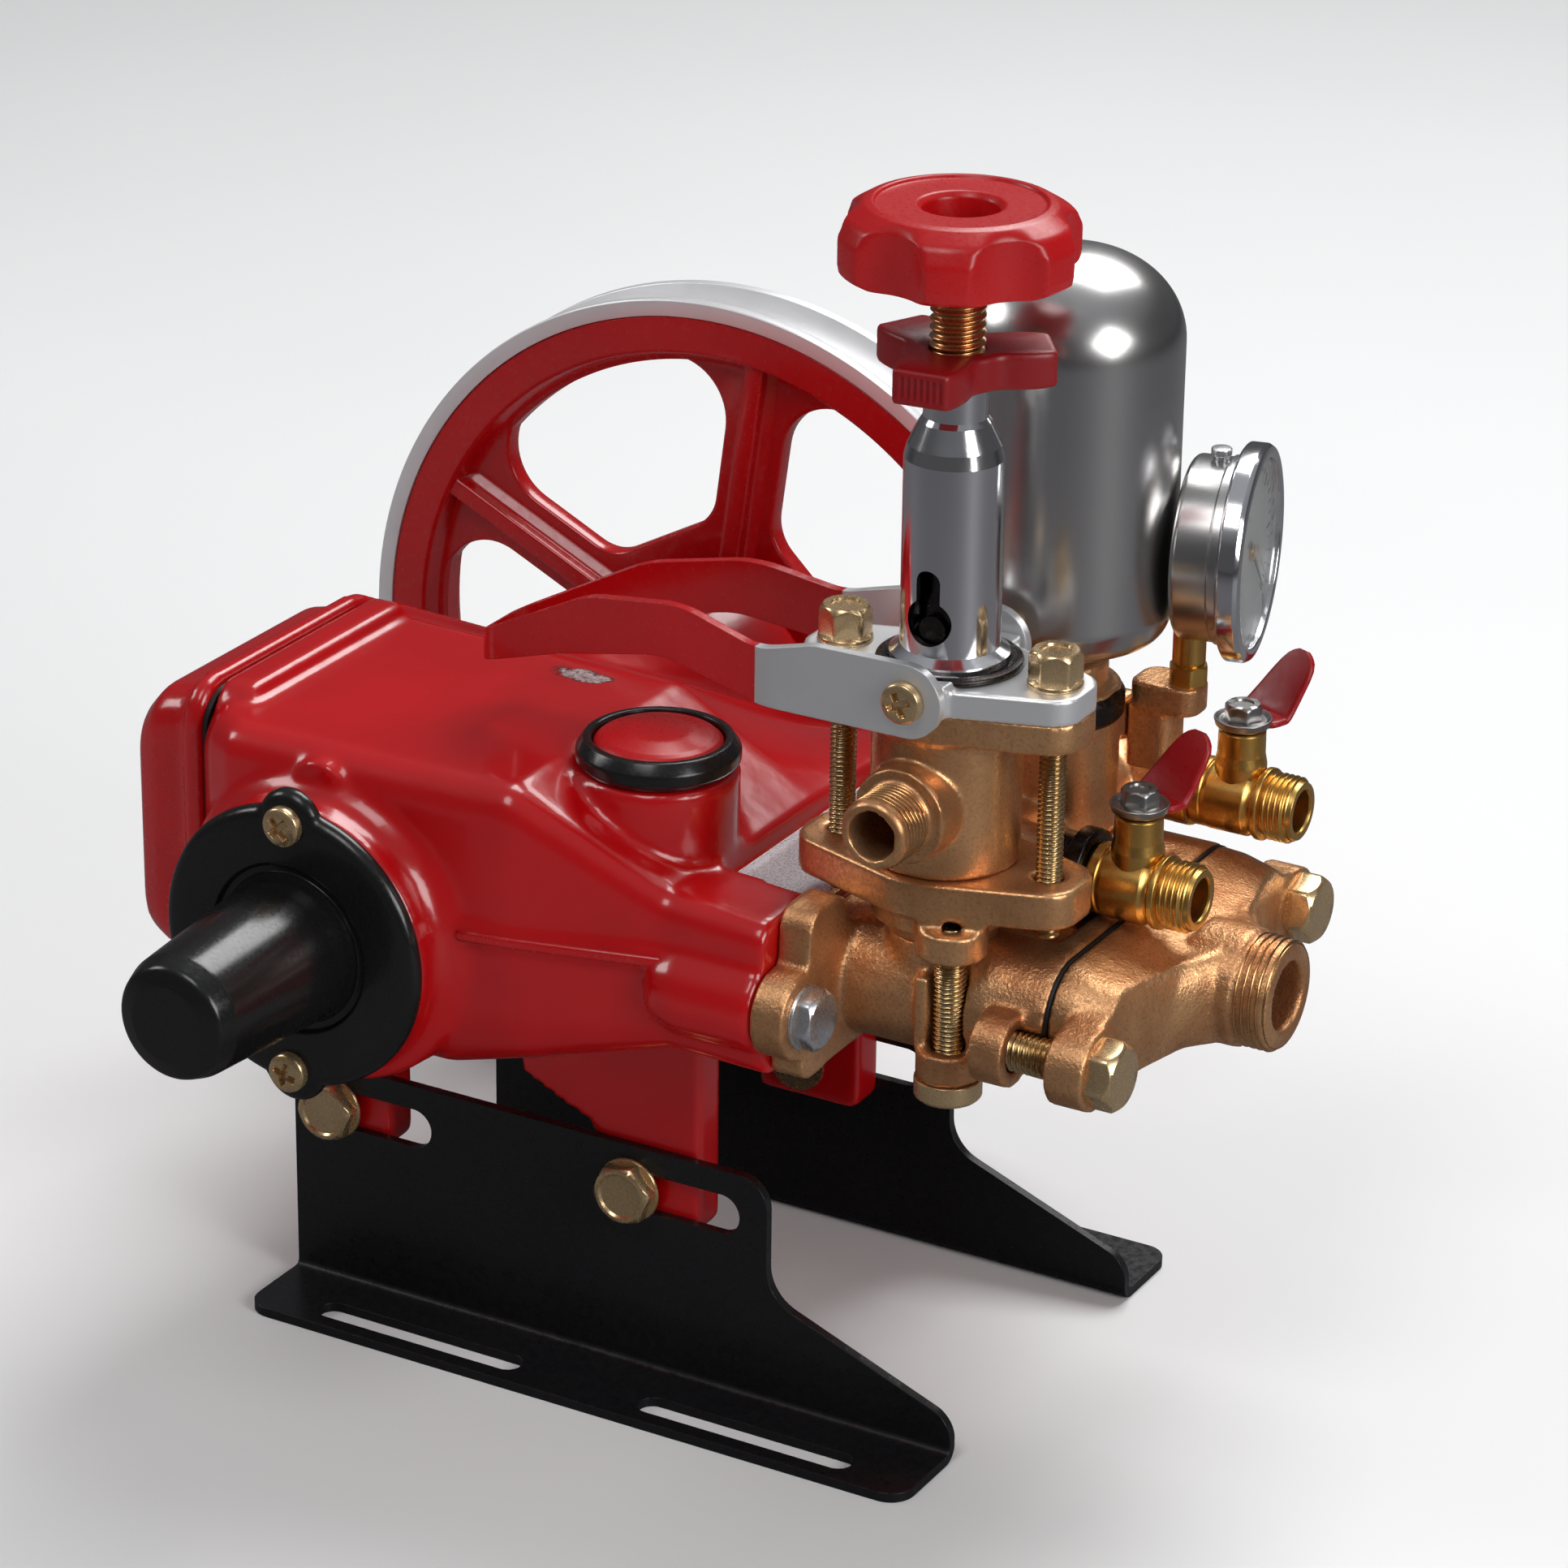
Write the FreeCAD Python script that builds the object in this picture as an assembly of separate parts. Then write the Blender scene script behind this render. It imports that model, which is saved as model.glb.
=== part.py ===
"""Three-cylinder plunger pump: crankcase, belt pulley, brass liquid end, regulator and brackets.

Sizes are in millimetres. +Z is up, +X points to the brass liquid end, the pulley is on the +Y side.
The origin lies on the floor at the centre of the four foot slots.
"""

import FreeCAD
import Part
import math
import os

from FreeCAD import Placement, Rotation, Vector

X_AXIS = (1, 0, 0)
Y_AXIS = (0, 1, 0)
Z_AXIS = (0, 0, 1)

# brackets: two bent strips with slotted feet
BRACKET_LENGTH = 235.0
BRACKET_HEIGHT = 77.1
BRACKET_OUTER_Y = 60.1
SHEET = 3.0
FOOT_WIDTH = 30.4
BEND_INNER_R = 2.0
BRACKET_STEP_X = 53.5
BRACKET_SLOPE_TOP_Z = 38.6
BRACKET_TIP_Z = 13.9
FOOT_SLOT_X = 58.3
FOOT_SLOT_Y = 80.5
FOOT_SLOT_LENGTH = 74.0
FOOT_SLOT_WIDTH = 9.5
SIDE_SLOT_Z = 62.5
SIDE_SLOT_WIDTH = 13.0
REAR_SIDE_SLOT = (-110.0, -66.5)
FRONT_SIDE_SLOT = (-1.5, 44.0)
BRACKET_BOLT_X = (-103.0, 5.5)
LEG_Y = BRACKET_OUTER_Y - SHEET
LEG_THICKNESS = 14.0
LEG_FOOT_Z = 50.0

# crankcase
CRANK_X = -74.3
CRANK_Z = 149.0
CASE_REAR_X = -125.0
CASE_FRONT_X = 68.0
CASE_HALF = 105.0
CASE_FRONT_HALF = 90.0
CASE_TOP_Z = 205.5
CASE_BOTTOM_Z = 103.0
RIDGE_Y = -2.0
RIDGE_R = 10.0
ROOF_SLOPE = 0.5
FRONT_ROOF_SLOPE = 0.05
FRONT_TOP_Z = 178.0
FRONT_BOTTOM_Z = 126.0
SLOPE_START_X = -12.0
SLOPE_END_X = 34.0
RIM_WIDTH = 12.0
RIM_HEIGHT = 4.5
BOSS_R = 43.5
NEAR_BOSS = 14.3
FAR_BOSS = 11.0
NEAR_BOSS_Y = -(CASE_HALF + NEAR_BOSS)
FAR_BOSS_Y = CASE_HALF + FAR_BOSS
BOLT_Y = 85.0
LUG_R = 13.5
RIB_Z = 158.0
WELL_HALF = 60.0
WELL_FLOOR_Z = 170.0
WELL_PLATE = 2.0
FILLER_X = 12.0
FILLER_Y = -55.0
FILLER_R = 24.3
FILLER_Z = 203.0
GASKET = 1.5
COVER_FLANGE = 7.0
COVER_DEPTH = 26.0

# shaft and its black end cover
SHAFT_R = 12.5
RUNNING_GAP = 0.08
COVER_SCREW_R = 40.0
BOOT = 66.0
BOOT_END_Y = NEAR_BOSS_Y - BOOT

# pulley
PULLEY_R = 130.5
PULLEY_GAP = 5.5
PULLEY_WIDTH = 24.5
PULLEY_Y = (FAR_BOSS_Y + PULLEY_GAP, FAR_BOSS_Y + PULLEY_GAP + PULLEY_WIDTH)
RIM = 18.5
RIM_INNER_R = PULLEY_R - RIM
WEB_THICKNESS = 7.0
GROOVE_WIDTH = 17.0
GROOVE_DEPTH = 12.0
GROOVE_ANGLE = 38.0
SPOKES = 5
SPOKE_ANGLE = 10.5
SPOKE_HALF = 11.0
RIB_WIDTH = 7.0
RIB_REACH = 6.5
HUB_R = 27.0

# valve block with three cylinders
PITCH = 45.0
BARREL_R = 19.5
BLOCK_FLANGE = 11.0
JOINT_X = 145.0
JOINT_HALF = 19.0
JOINT_END = 17.5
CLAMP_X = 114.5
CLAMP_Y = 62.0
CLAMP_PAD = 9.0
CLAMP_LUG_Z = 129.5
CLAMP_LUG = 9.5
EAR_Y = 67.0
EAR_Z = 145.5
EAR_BACK_X = 153.0
EAR = 12.5
M10_R = 5.0
M12_R = 6.0
M10_FLATS = 17.0
M12_FLATS = 19.0
M10_HEAD = 6.6
M12_HEAD = 8.0
HOLE_GAP = 0.25

# suction side
SUCTION_R = 16.625
SUCTION_BORE_R = 10.5
SUCTION_MOUTH_X = 193.5
THREAD_CHAMFER = 1.5

# discharge side
MANIFOLD_X = 103.0
MANIFOLD_Z = 176.5
MANIFOLD_R = 14.5
MANIFOLD_LOW_Z = 168.8
OUTLET_Y = (-14.0, 60.0)
OUTLET_Z = 179.8
OUTLET_BODY_R = 10.9
OUTLET_R = 10.475
OUTLET_BORE_R = 6.5
COLLAR_X = 125.5
COLLAR = (11.0, 8.9)
COLLAR_R = (14.0, 11.6)
VALVE = 34.0
VALVE_STEM = 13.1
STEM_R = 7.2
STEM_TOP_Z = 202.6
STEM_PIN_R = 3.4
LEVER_SHEET = 2.2
LEVER_TURN = (71.0, 67.0)
GAUGE_ARM_Y = 40.0
GAUGE_ARM_Z = 208.0
GAUGE_BLOCK_X = (120.5, 143.0)
GAUGE_BLOCK_TOP_Z = 222.0

# regulator
REG_X = 102.5
REG_Y = -45.0
REG_PLATE_Z = (180.0, 191.5)
REG_BODY_R = 22.0
REG_TOP_Z = 234.0
OVAL_TOP_Z = 243.0
ZINC_TOP_Z = 251.0
STUD_REACH = 34.0
STUD_R = 4.0
STUD_FLATS = 14.0
STUD_HEAD = 11.0
RETURN_Z = 213.0
RETURN_MOUTH_Y = -90.0
HOUSING_R = 14.5
HOUSING_WALL = 2.2
HOUSING_SHOULDER_Z = 315.4
NECK_R = 9.3
NECK_Z = (325.5, 334.8)
SCREW_R = 8.0
LOCK_NUT_Z = (335.5, 346.3)
LOCK_WING_R = 27.3
LOCK_WING_HALF = 9.5
KNOB_R = 35.0
KNOB_Z = (365.5, 388.0)
KNOB_LOBE_ANGLE = -68.0
LOCK_WING_ANGLE = -84.6

# relief lever
PIVOT_Z = 248.3
ARM_OFFSET = 26.5
ARM = 3.0
LEVER_PAINT_X = 54.0
PIVOT_R = 3.0

# air chamber and gauge
CHAMBER_X = 104.0
CHAMBER_Y = 22.0
CHAMBER_R = 33.8
CHAMBER_Z = (236.0, 356.5)
GAUGE_CENTRE = (153.0, 45.0, 265.0)
GAUGE_TURN = 13.0
GAUGE_R = 32.5
GAUGE_CASE_R = 27.5
GAUGE_CASE = 18.0


def cylinder(radius, length, base, axis):
    """Straight round bar from base along axis."""
    return Part.makeCylinder(radius, length, Vector(*base), Vector(*axis))


def block(x, y, z):
    """Box between three pairs of limits."""
    size = (x[1] - x[0], y[1] - y[0], z[1] - z[0])
    return Part.makeBox(size[0], size[1], size[2], Vector(x[0], y[0], z[0]))


def fuse(*shapes):
    """Join shapes into one and drop the seams."""
    return shapes[0].fuse(list(shapes[1:])).removeSplitter()


def mirrored(shape):
    """Copy on the other side of the middle plane."""
    return shape.mirror(Vector(0, 0, 0), Vector(0, 1, 0))


def both_sides(shape):
    """Shape and its mirror copy, joined where they meet."""
    return shape.fuse(mirrored(shape))


def turned(profile, base, axis):
    """Body of revolution; profile is a list of (radius, distance along the axis)."""
    points = [Vector(r, 0, s) for r, s in profile]
    wire = Part.makePolygon(points + [points[0]])
    body = Part.Face(wire).revolve(Vector(0, 0, 0), Vector(0, 0, 1), 360)
    turn = Rotation(Vector(0, 0, 1), Vector(*axis))
    body.Placement = Placement(Vector(*base), turn)
    return body


def corner_arc(before, corner, after, radius):
    """Points where a rounding of this radius starts, has its middle and ends."""
    inward = (before - corner).normalize()
    outward = (after - corner).normalize()
    half = math.acos(max(-1.0, min(1.0, inward.dot(outward)))) / 2
    reach = radius / math.tan(half)
    middle = (inward + outward).normalize()
    centre = corner + middle * (radius / math.sin(half))
    return corner + inward * reach, centre - middle * radius, corner + outward * reach


def rounded_wire(corners, place):
    """Closed outline from (u, v, radius) corners, put into space by place(u, v)."""
    flat = [Vector(u, v, 0) for u, v, _ in corners]
    ends = []
    for i, (_, _, radius) in enumerate(corners):
        before = flat[i - 1]
        after = flat[(i + 1) % len(flat)]
        ends.append(corner_arc(before, flat[i], after, radius) if radius > 0 else (flat[i],))
    edges = []
    for i, points in enumerate(ends):
        spots = [place(p.x, p.y) for p in points]
        if len(spots) == 3:
            edges.append(Part.Arc(*spots).toShape())
        start = spots[-1]
        follow = ends[(i + 1) % len(ends)][0]
        stop = place(follow.x, follow.y)
        if start.distanceToPoint(stop) > 1e-6:
            edges.append(Part.makeLine(start, stop))
    return Part.Wire(edges)


def plate_xy(corners, low, high):
    """Flat plate with rounded corners, thickness along Z."""
    wire = rounded_wire(corners, lambda u, v: Vector(u, v, low))
    return Part.Face(wire).extrude(Vector(0, 0, high - low))


def plate_xz(corners, low, high):
    """Flat plate with rounded corners, thickness along Y."""
    wire = rounded_wire(corners, lambda u, v: Vector(u, low, v))
    return Part.Face(wire).extrude(Vector(0, high - low, 0))


def plate_yz(corners, low, high):
    """Flat plate with rounded corners, thickness along X."""
    wire = rounded_wire(corners, lambda u, v: Vector(low, u, v))
    return Part.Face(wire).extrude(Vector(high - low, 0, 0))


def slot_corners(u, v, width):
    """Corners of a slot with round ends between two u limits."""
    half = width / 2
    low, high = u
    near_half = half * 0.999
    spots = [(low, v - half), (high, v - half), (high, v + half), (low, v + half)]
    return [(a, b, near_half) for a, b in spots]


def oval(centre_u, centre_v, reach, end_r, waist):
    """Corners of a two-eared plate along u with a wider waist."""
    side = reach + end_r
    return [
        (centre_u - side, centre_v - end_r, end_r * 0.99),
        (centre_u, centre_v - waist, waist * 0.9),
        (centre_u + side, centre_v - end_r, end_r * 0.99),
        (centre_u + side, centre_v + end_r, end_r * 0.99),
        (centre_u, centre_v + waist, waist * 0.9),
        (centre_u - side, centre_v + end_r, end_r * 0.99),
    ]


def hexagon(flats, length, base, axis, chamfer=0.0):
    """Hexagon bar; a chamfer rounds the corners of its far end."""
    radius = flats / math.sqrt(3)
    points = []
    for i in range(7):
        angle = math.radians(60 * i + 30)
        points.append(Vector(radius * math.cos(angle), radius * math.sin(angle), 0))
    body = Part.Face(Part.makePolygon(points)).extrude(Vector(0, 0, length))
    if chamfer > 0:
        outer = radius + 0.1
        top_r = flats / 2 - 0.3
        drop = length - chamfer
        shape = [(0, -1), (outer, -1), (outer, drop), (top_r, length), (0, length)]
        body = body.common(turned(shape, (0, 0, 0), Z_AXIS))
    turn = Rotation(Vector(0, 0, 1), Vector(*axis))
    body.Placement = Placement(Vector(*base), turn)
    return body


def pan_screw(head_r, head, shank_r, shank, base, axis):
    """Pan-head screw; base is the seat of the head and axis points out of the head."""
    profile = [(0, -shank), (shank_r, -shank), (shank_r, 0), (head_r, 0)]
    profile += [(head_r, head * 0.5), (head_r * 0.75, head), (0, head)]
    return turned(profile, base, axis)


def build_bracket():
    """Near bracket with foot and side slots."""
    end = BRACKET_LENGTH / 2
    inner = -LEG_Y
    outer = -BRACKET_OUTER_Y
    edge = outer - FOOT_WIDTH
    section = [
        (inner, BRACKET_HEIGHT, 0),
        (outer, BRACKET_HEIGHT, 0),
        (outer, SHEET, BEND_INNER_R),
        (edge, SHEET, 0),
        (edge, 0, 0),
        (inner, 0, BEND_INNER_R + SHEET),
    ]
    side = [
        (-end, 0, 0),
        (end, 0, 0),
        (end, BRACKET_TIP_Z, 10),
        (BRACKET_STEP_X, BRACKET_SLOPE_TOP_Z, 14),
        (BRACKET_STEP_X, BRACKET_HEIGHT, 10),
        (-end, BRACKET_HEIGHT, 3),
    ]
    plan = [
        (-end, inner + 1, 0),
        (-end, edge, 8),
        (end, edge, 8),
        (end, inner + 1, 0),
    ]
    body = plate_yz(section, -end, end)
    body = body.common(plate_xz(side, edge, inner + 1))
    body = body.common(plate_xy(plan, 0, BRACKET_HEIGHT))
    for x in (-FOOT_SLOT_X, FOOT_SLOT_X):
        ends = (x - FOOT_SLOT_LENGTH / 2, x + FOOT_SLOT_LENGTH / 2)
        hole = slot_corners(ends, -FOOT_SLOT_Y, FOOT_SLOT_WIDTH)
        body = body.cut(plate_xy(hole, -1, SHEET + 1))
    for ends in (REAR_SIDE_SLOT, FRONT_SIDE_SLOT):
        hole = slot_corners(ends, SIDE_SLOT_Z, SIDE_SLOT_WIDTH)
        body = body.cut(plate_xz(hole, outer - 1, inner + 1))
    return body


def build_bracket_bolts():
    """Hexagon bolts that hold the crankcase legs to the near bracket."""
    parts = []
    for x in BRACKET_BOLT_X:
        seat = (x, -BRACKET_OUTER_Y, SIDE_SLOT_Z)
        head = hexagon(M10_FLATS + 1, M10_HEAD, seat, (0, -1, 0), 1.6)
        shank = cylinder(M10_R, SHEET + LEG_THICKNESS, seat, Y_AXIS)
        washer = cylinder(M10_R * 2, 1.2, (x, -LEG_Y + LEG_THICKNESS, SIDE_SLOT_Z), Y_AXIS)
        parts.append(fuse(head, shank, washer))
    return parts[0].fuse(parts[1])


def case_section(x, half, low, high, low_r, high_r):
    """Rounded cross-section of the crankcase at one place along X."""
    corners = [(-half, low, low_r), (half, low, low_r)]
    corners += [(half, high, high_r), (-half, high, high_r)]
    return rounded_wire(corners, lambda u, v: Vector(x, u, v))


def roofed_corners(half, low, high, low_r, high_r, slope):
    """Corners of a section that is level up to the ridge and falls from it to the pulley side."""
    far_high = high - (half - RIDGE_Y) * slope
    corners = [(-half, low, low_r), (half, low, low_r), (half, far_high, high_r)]
    return corners + [(RIDGE_Y, high, RIDGE_R), (-half, high, high_r)]


def roofed_section(x, half, low, high, low_r, high_r, slope=ROOF_SLOPE):
    """Rounded outline of a roofed section at one place along X."""
    corners = roofed_corners(half, low, high, low_r, high_r, slope)
    return rounded_wire(corners, lambda u, v: Vector(x, u, v))


def build_case_body():
    """Crankcase casting without bosses: wide at the crank, narrow at the front."""
    top = CASE_TOP_Z
    low = CASE_BOTTOM_Z
    front = (CASE_FRONT_HALF, FRONT_BOTTOM_Z)
    stations = [
        (CASE_REAR_X, CASE_HALF - 12, low + 5, top - 2, 26, 14),
        (CASE_REAR_X + 7, CASE_HALF - 5, low + 1, top, 28, 12),
        (CASE_REAR_X + 17, CASE_HALF, low, top, 30, 10),
        (SLOPE_START_X - 28, CASE_HALF, low, top, 30, 10),
        (SLOPE_START_X, CASE_HALF - 2.5, low + 9, top - 0.5, 24, 9),
        (SLOPE_END_X, *front, FRONT_TOP_Z, 12, 8, FRONT_ROOF_SLOPE),
        (CASE_FRONT_X, *front, FRONT_TOP_Z - 2.5, 10, 7, FRONT_ROOF_SLOPE),
    ]
    wires = [roofed_section(*s) for s in stations]
    return Part.makeLoft(wires, True, True)


def build_near_boss():
    """Flared round boss that carries the black end cover."""
    reach = -NEAR_BOSS_Y - CASE_HALF + 6
    profile = [(0, 0), (BOSS_R + 7, 0), (BOSS_R + 6, 6), (BOSS_R + 1.5, 10)]
    profile += [(BOSS_R, 14), (BOSS_R, reach), (0, reach)]
    return turned(profile, (CRANK_X, 6 - CASE_HALF, CRANK_Z), (0, -1, 0))


def build_far_barrel():
    """Drafted barrel round the pulley-side bearing, coming out of the falling roof."""
    reach = FAR_BOSS_Y - RIDGE_Y - 10
    profile = [(0, 0), (BOSS_R - 5, 0), (BOSS_R, reach - 12), (BOSS_R, reach), (0, reach)]
    return turned(profile, (CRANK_X, RIDGE_Y + 10, CRANK_Z), Y_AXIS)


def leg(profile):
    """One crankcase leg against the inside face of the near bracket."""
    return plate_xz(profile, -LEG_Y, -LEG_Y + LEG_THICKNESS)


def build_legs():
    """Front and rear legs of both sides."""
    low = LEG_FOOT_Z
    front = [
        (-36, 112, 0),
        (-36, 91, 6),
        (-9, 79, 5),
        (-9, low, 4),
        (27.5, low, 4),
        (27.5, 128, 0),
    ]
    rear = [
        (-118, 112, 0),
        (-118, low, 5),
        (-84, low, 5),
        (-84, 84, 8),
        (-64, 96, 6),
        (-64, 112, 0),
    ]
    return both_sides(fuse(leg(front), leg(rear)))


def build_crankcase():
    """Whole crankcase casting with bosses, legs, filler neck, ribs and bores."""
    rim_top = CASE_TOP_Z + RIM_HEIGHT
    rim_half = CASE_HALF - 17
    rim_drop = (rim_half - RIDGE_Y) * ROOF_SLOPE
    rim = [
        (-rim_half, rim_top - 16, 0),
        (RIDGE_Y, rim_top - 16, 0),
        (rim_half, rim_top - 16 - rim_drop, 0),
        (rim_half, rim_top - rim_drop, 6),
        (RIDGE_Y, rim_top, RIDGE_R),
        (-rim_half, rim_top, 10),
    ]
    lug_start = SLOPE_END_X - 4
    lug_length = CASE_FRONT_X - lug_start
    lug_profile = [(0, 0), (LUG_R - 5, 0), (LUG_R - 1.5, 3.5), (LUG_R, 9)]
    lug_profile += [(LUG_R, lug_length), (0, lug_length)]
    lug = turned(lug_profile, (lug_start, -BOLT_Y, CRANK_Z), X_AXIS)
    rib_y = CASE_HALF + 1.2
    rib = plate_xy(
        [
            (-26, -80, 0),
            (-26, -rib_y, 1),
            (SLOPE_START_X, -rib_y + 2.5, 6),
            (SLOPE_END_X + 4, -CASE_FRONT_HALF - 1.2, 1),
            (SLOPE_END_X + 4, -80, 0),
        ],
        RIB_Z - 2.5,
        RIB_Z + 2.5,
    )
    ear = cylinder(8.0, 14, (CRANK_X, -CASE_HALF - 2, CRANK_Z + COVER_SCREW_R + 6), Y_AXIS)
    neck_base = FRONT_TOP_Z - 8
    neck = cylinder(FILLER_R, FILLER_Z - neck_base, (FILLER_X, FILLER_Y, neck_base), Z_AXIS)
    body = fuse(
        build_case_body(),
        plate_yz(rim, CASE_REAR_X, CASE_REAR_X + RIM_WIDTH),
        build_near_boss(),
        build_far_barrel(),
        both_sides(lug),
        rib,
        ear,
        neck,
        build_legs(),
    )
    bore_r = SHAFT_R + RUNNING_GAP
    length = FAR_BOSS_Y - NEAR_BOSS_Y + 2
    body = body.cut(cylinder(bore_r, length, (CRANK_X, NEAR_BOSS_Y - 1, CRANK_Z), Y_AXIS))
    well = block((SLOPE_END_X + 2, CASE_FRONT_X + 1), (-WELL_HALF, WELL_HALF), (WELL_FLOOR_Z, 300))
    body = body.cut(well)
    seat = cylinder(FILLER_R + 1, 20, (FILLER_X, FILLER_Y, FILLER_Z), Z_AXIS)
    body = body.cut(seat)
    hole_r = M10_R + HOLE_GAP
    for x in BRACKET_BOLT_X:
        for y in (-LEG_Y - 1, LEG_Y - LEG_THICKNESS - 1):
            hole = cylinder(hole_r, LEG_THICKNESS + 2, (x, y, SIDE_SLOT_Z), Y_AXIS)
            body = body.cut(hole)
    for y in (-BOLT_Y, BOLT_Y):
        body = body.cut(cylinder(hole_r, 22, (CASE_FRONT_X - 21, y, CRANK_Z), X_AXIS))
    return body


def build_rear_cover():
    """Rear cover: flange plate with a drafted bulge."""
    top = CASE_TOP_Z + RIM_HEIGHT
    low = CASE_BOTTOM_Z + 5
    flange_x = CASE_REAR_X - GASKET
    half = CASE_HALF - 13
    flange_corners = roofed_corners(half, low, top, 24, 12, ROOF_SLOPE)
    flange = plate_yz(flange_corners, flange_x - COVER_FLANGE, flange_x)
    face_x = flange_x - COVER_FLANGE
    end_x = face_x - COVER_DEPTH
    stations = [
        (face_x + 2, half - 3, low + 3, top - 4, 22, 12),
        (face_x - COVER_DEPTH * 0.55, half - 4, low + 4, top - 8, 20, 12),
        (end_x + 5, half - 7, low + 8, top - 15, 16, 12),
        (end_x, half - 14, low + 16, top - 23, 12, 12),
    ]
    bulge = Part.makeLoft([roofed_section(*s) for s in stations], True, True)
    return fuse(flange, bulge)


def build_rear_gasket():
    """Thin sheet between crankcase and rear cover."""
    top = CASE_TOP_Z + RIM_HEIGHT - 3
    low = CASE_BOTTOM_Z + 6
    half = CASE_HALF - 14
    corners = roofed_corners(half, low, top, 24, 12, ROOF_SLOPE)
    return plate_yz(corners, CASE_REAR_X - GASKET, CASE_REAR_X)


def build_shaft_end_cover():
    """Black cover over the free shaft end: round plate with two ears and a domed tube."""
    face_y = NEAR_BOSS_Y
    tube = abs(BOOT_END_Y - face_y)
    inner = SHAFT_R + 5
    profile = [
        (inner, 0),
        (BOSS_R + 1.1, 0),
        (BOSS_R + 1.1, 2.2),
        (BOSS_R - 1.2, 4.7),
        (26, 4.7),
        (25.5, 2.8),
        (23.8, 2.8),
        (23.2, 4.6),
        (22.4, 12),
        (19.3, tube - 7),
        (17.6, tube - 2.6),
        (13.5, tube),
        (0, tube),
        (0, tube - 6),
        (inner - 4, tube - 6),
        (inner, tube - 10),
    ]
    base = (CRANK_X, face_y, CRANK_Z)
    body = turned(profile, base, (0, -1, 0))
    for side in (-1, 1):
        spot = (CRANK_X, face_y, CRANK_Z + side * COVER_SCREW_R)
        body = body.fuse(cylinder(10.5, 4.7, spot, (0, -1, 0)))
    for side in (-1, 1):
        spot = (CRANK_X, face_y - 10, CRANK_Z + side * COVER_SCREW_R)
        body = body.cut(cylinder(3.2, 12, spot, Y_AXIS))
    return body.removeSplitter()


def build_cover_screws():
    """Two brass pan-head screws of the shaft end cover."""
    parts = []
    for side in (-1, 1):
        seat = (CRANK_X, NEAR_BOSS_Y - 4.7, CRANK_Z + side * COVER_SCREW_R)
        parts.append(pan_screw(6.2, 4.0, 3.0, 4.6, seat, (0, -1, 0)))
    return parts[0].fuse(parts[1])


def build_filler_ring():
    """Black plastic ring on the filler neck."""
    profile = [(19.6, 0), (22.8, 0), (24.6, 2), (24.6, 5.5), (22.6, 9), (19.6, 9)]
    return turned(profile, (FILLER_X, FILLER_Y, FILLER_Z), Z_AXIS)


def build_filler_cap():
    """Red domed plug inside the ring."""
    profile = [(0, 0), (19.4, 0), (19.4, 8.4), (18.4, 9.6), (12, 10.9), (0, 11.5)]
    return turned(profile, (FILLER_X, FILLER_Y, FILLER_Z), Z_AXIS)


def build_well_plate():
    """Bright plate over the well behind the valve block."""
    x = (SLOPE_END_X + 3, CASE_FRONT_X - 1)
    y = (-WELL_HALF + 1, WELL_HALF - 1)
    return block(x, y, (WELL_FLOOR_Z, WELL_FLOOR_Z + WELL_PLATE))


def build_crankshaft():
    """Shaft through the case with the nut that holds the pulley."""
    length = PULLEY_Y[1] + 8 + abs(BOOT_END_Y) - 12
    start = (CRANK_X, BOOT_END_Y + 12, CRANK_Z)
    shaft = turned(
        [(0, 0), (SHAFT_R - 1.5, 0), (SHAFT_R, 1.5), (SHAFT_R, length - 1.5), (SHAFT_R - 1.5, length)]
        + [(0, length)],
        start,
        Y_AXIS,
    )
    washer = cylinder(20, 3, (CRANK_X, PULLEY_Y[1] + 8, CRANK_Z), Y_AXIS)
    nut = hexagon(24, 9, (CRANK_X, PULLEY_Y[1] + 11, CRANK_Z), Y_AXIS, 1.5)
    return fuse(shaft, washer, nut)


def window_corners():
    """Outline of one pulley window in its own frame, u along the bisector."""
    half_angle = math.pi / SPOKES
    tangent = math.radians(12)
    outer = RIM_INNER_R - 3
    lean = half_angle - tangent
    reach = (outer - SPOKE_HALF * math.sin(lean)) / math.cos(lean)
    inner = HUB_R + 22
    start = (inner - SPOKE_HALF * math.sin(half_angle)) / math.cos(half_angle)

    def spot(along, side):
        u = along * math.cos(half_angle) + SPOKE_HALF * math.sin(half_angle)
        v = along * math.sin(half_angle) - SPOKE_HALF * math.cos(half_angle)
        return (u, side * v)

    low_out = spot(reach, -1)
    high_out = spot(reach, 1)
    low_in = spot(start, -1)
    high_in = spot(start, 1)
    crown = outer / math.cos(tangent)
    outer_r = outer * 0.19
    inner_r = (outer - inner) * 0.25
    return [
        (low_in[0], low_in[1], inner_r),
        (low_out[0], low_out[1], outer_r),
        (crown, 0, outer),
        (high_out[0], high_out[1], outer_r),
        (high_in[0], high_in[1], inner_r),
    ]


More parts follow.
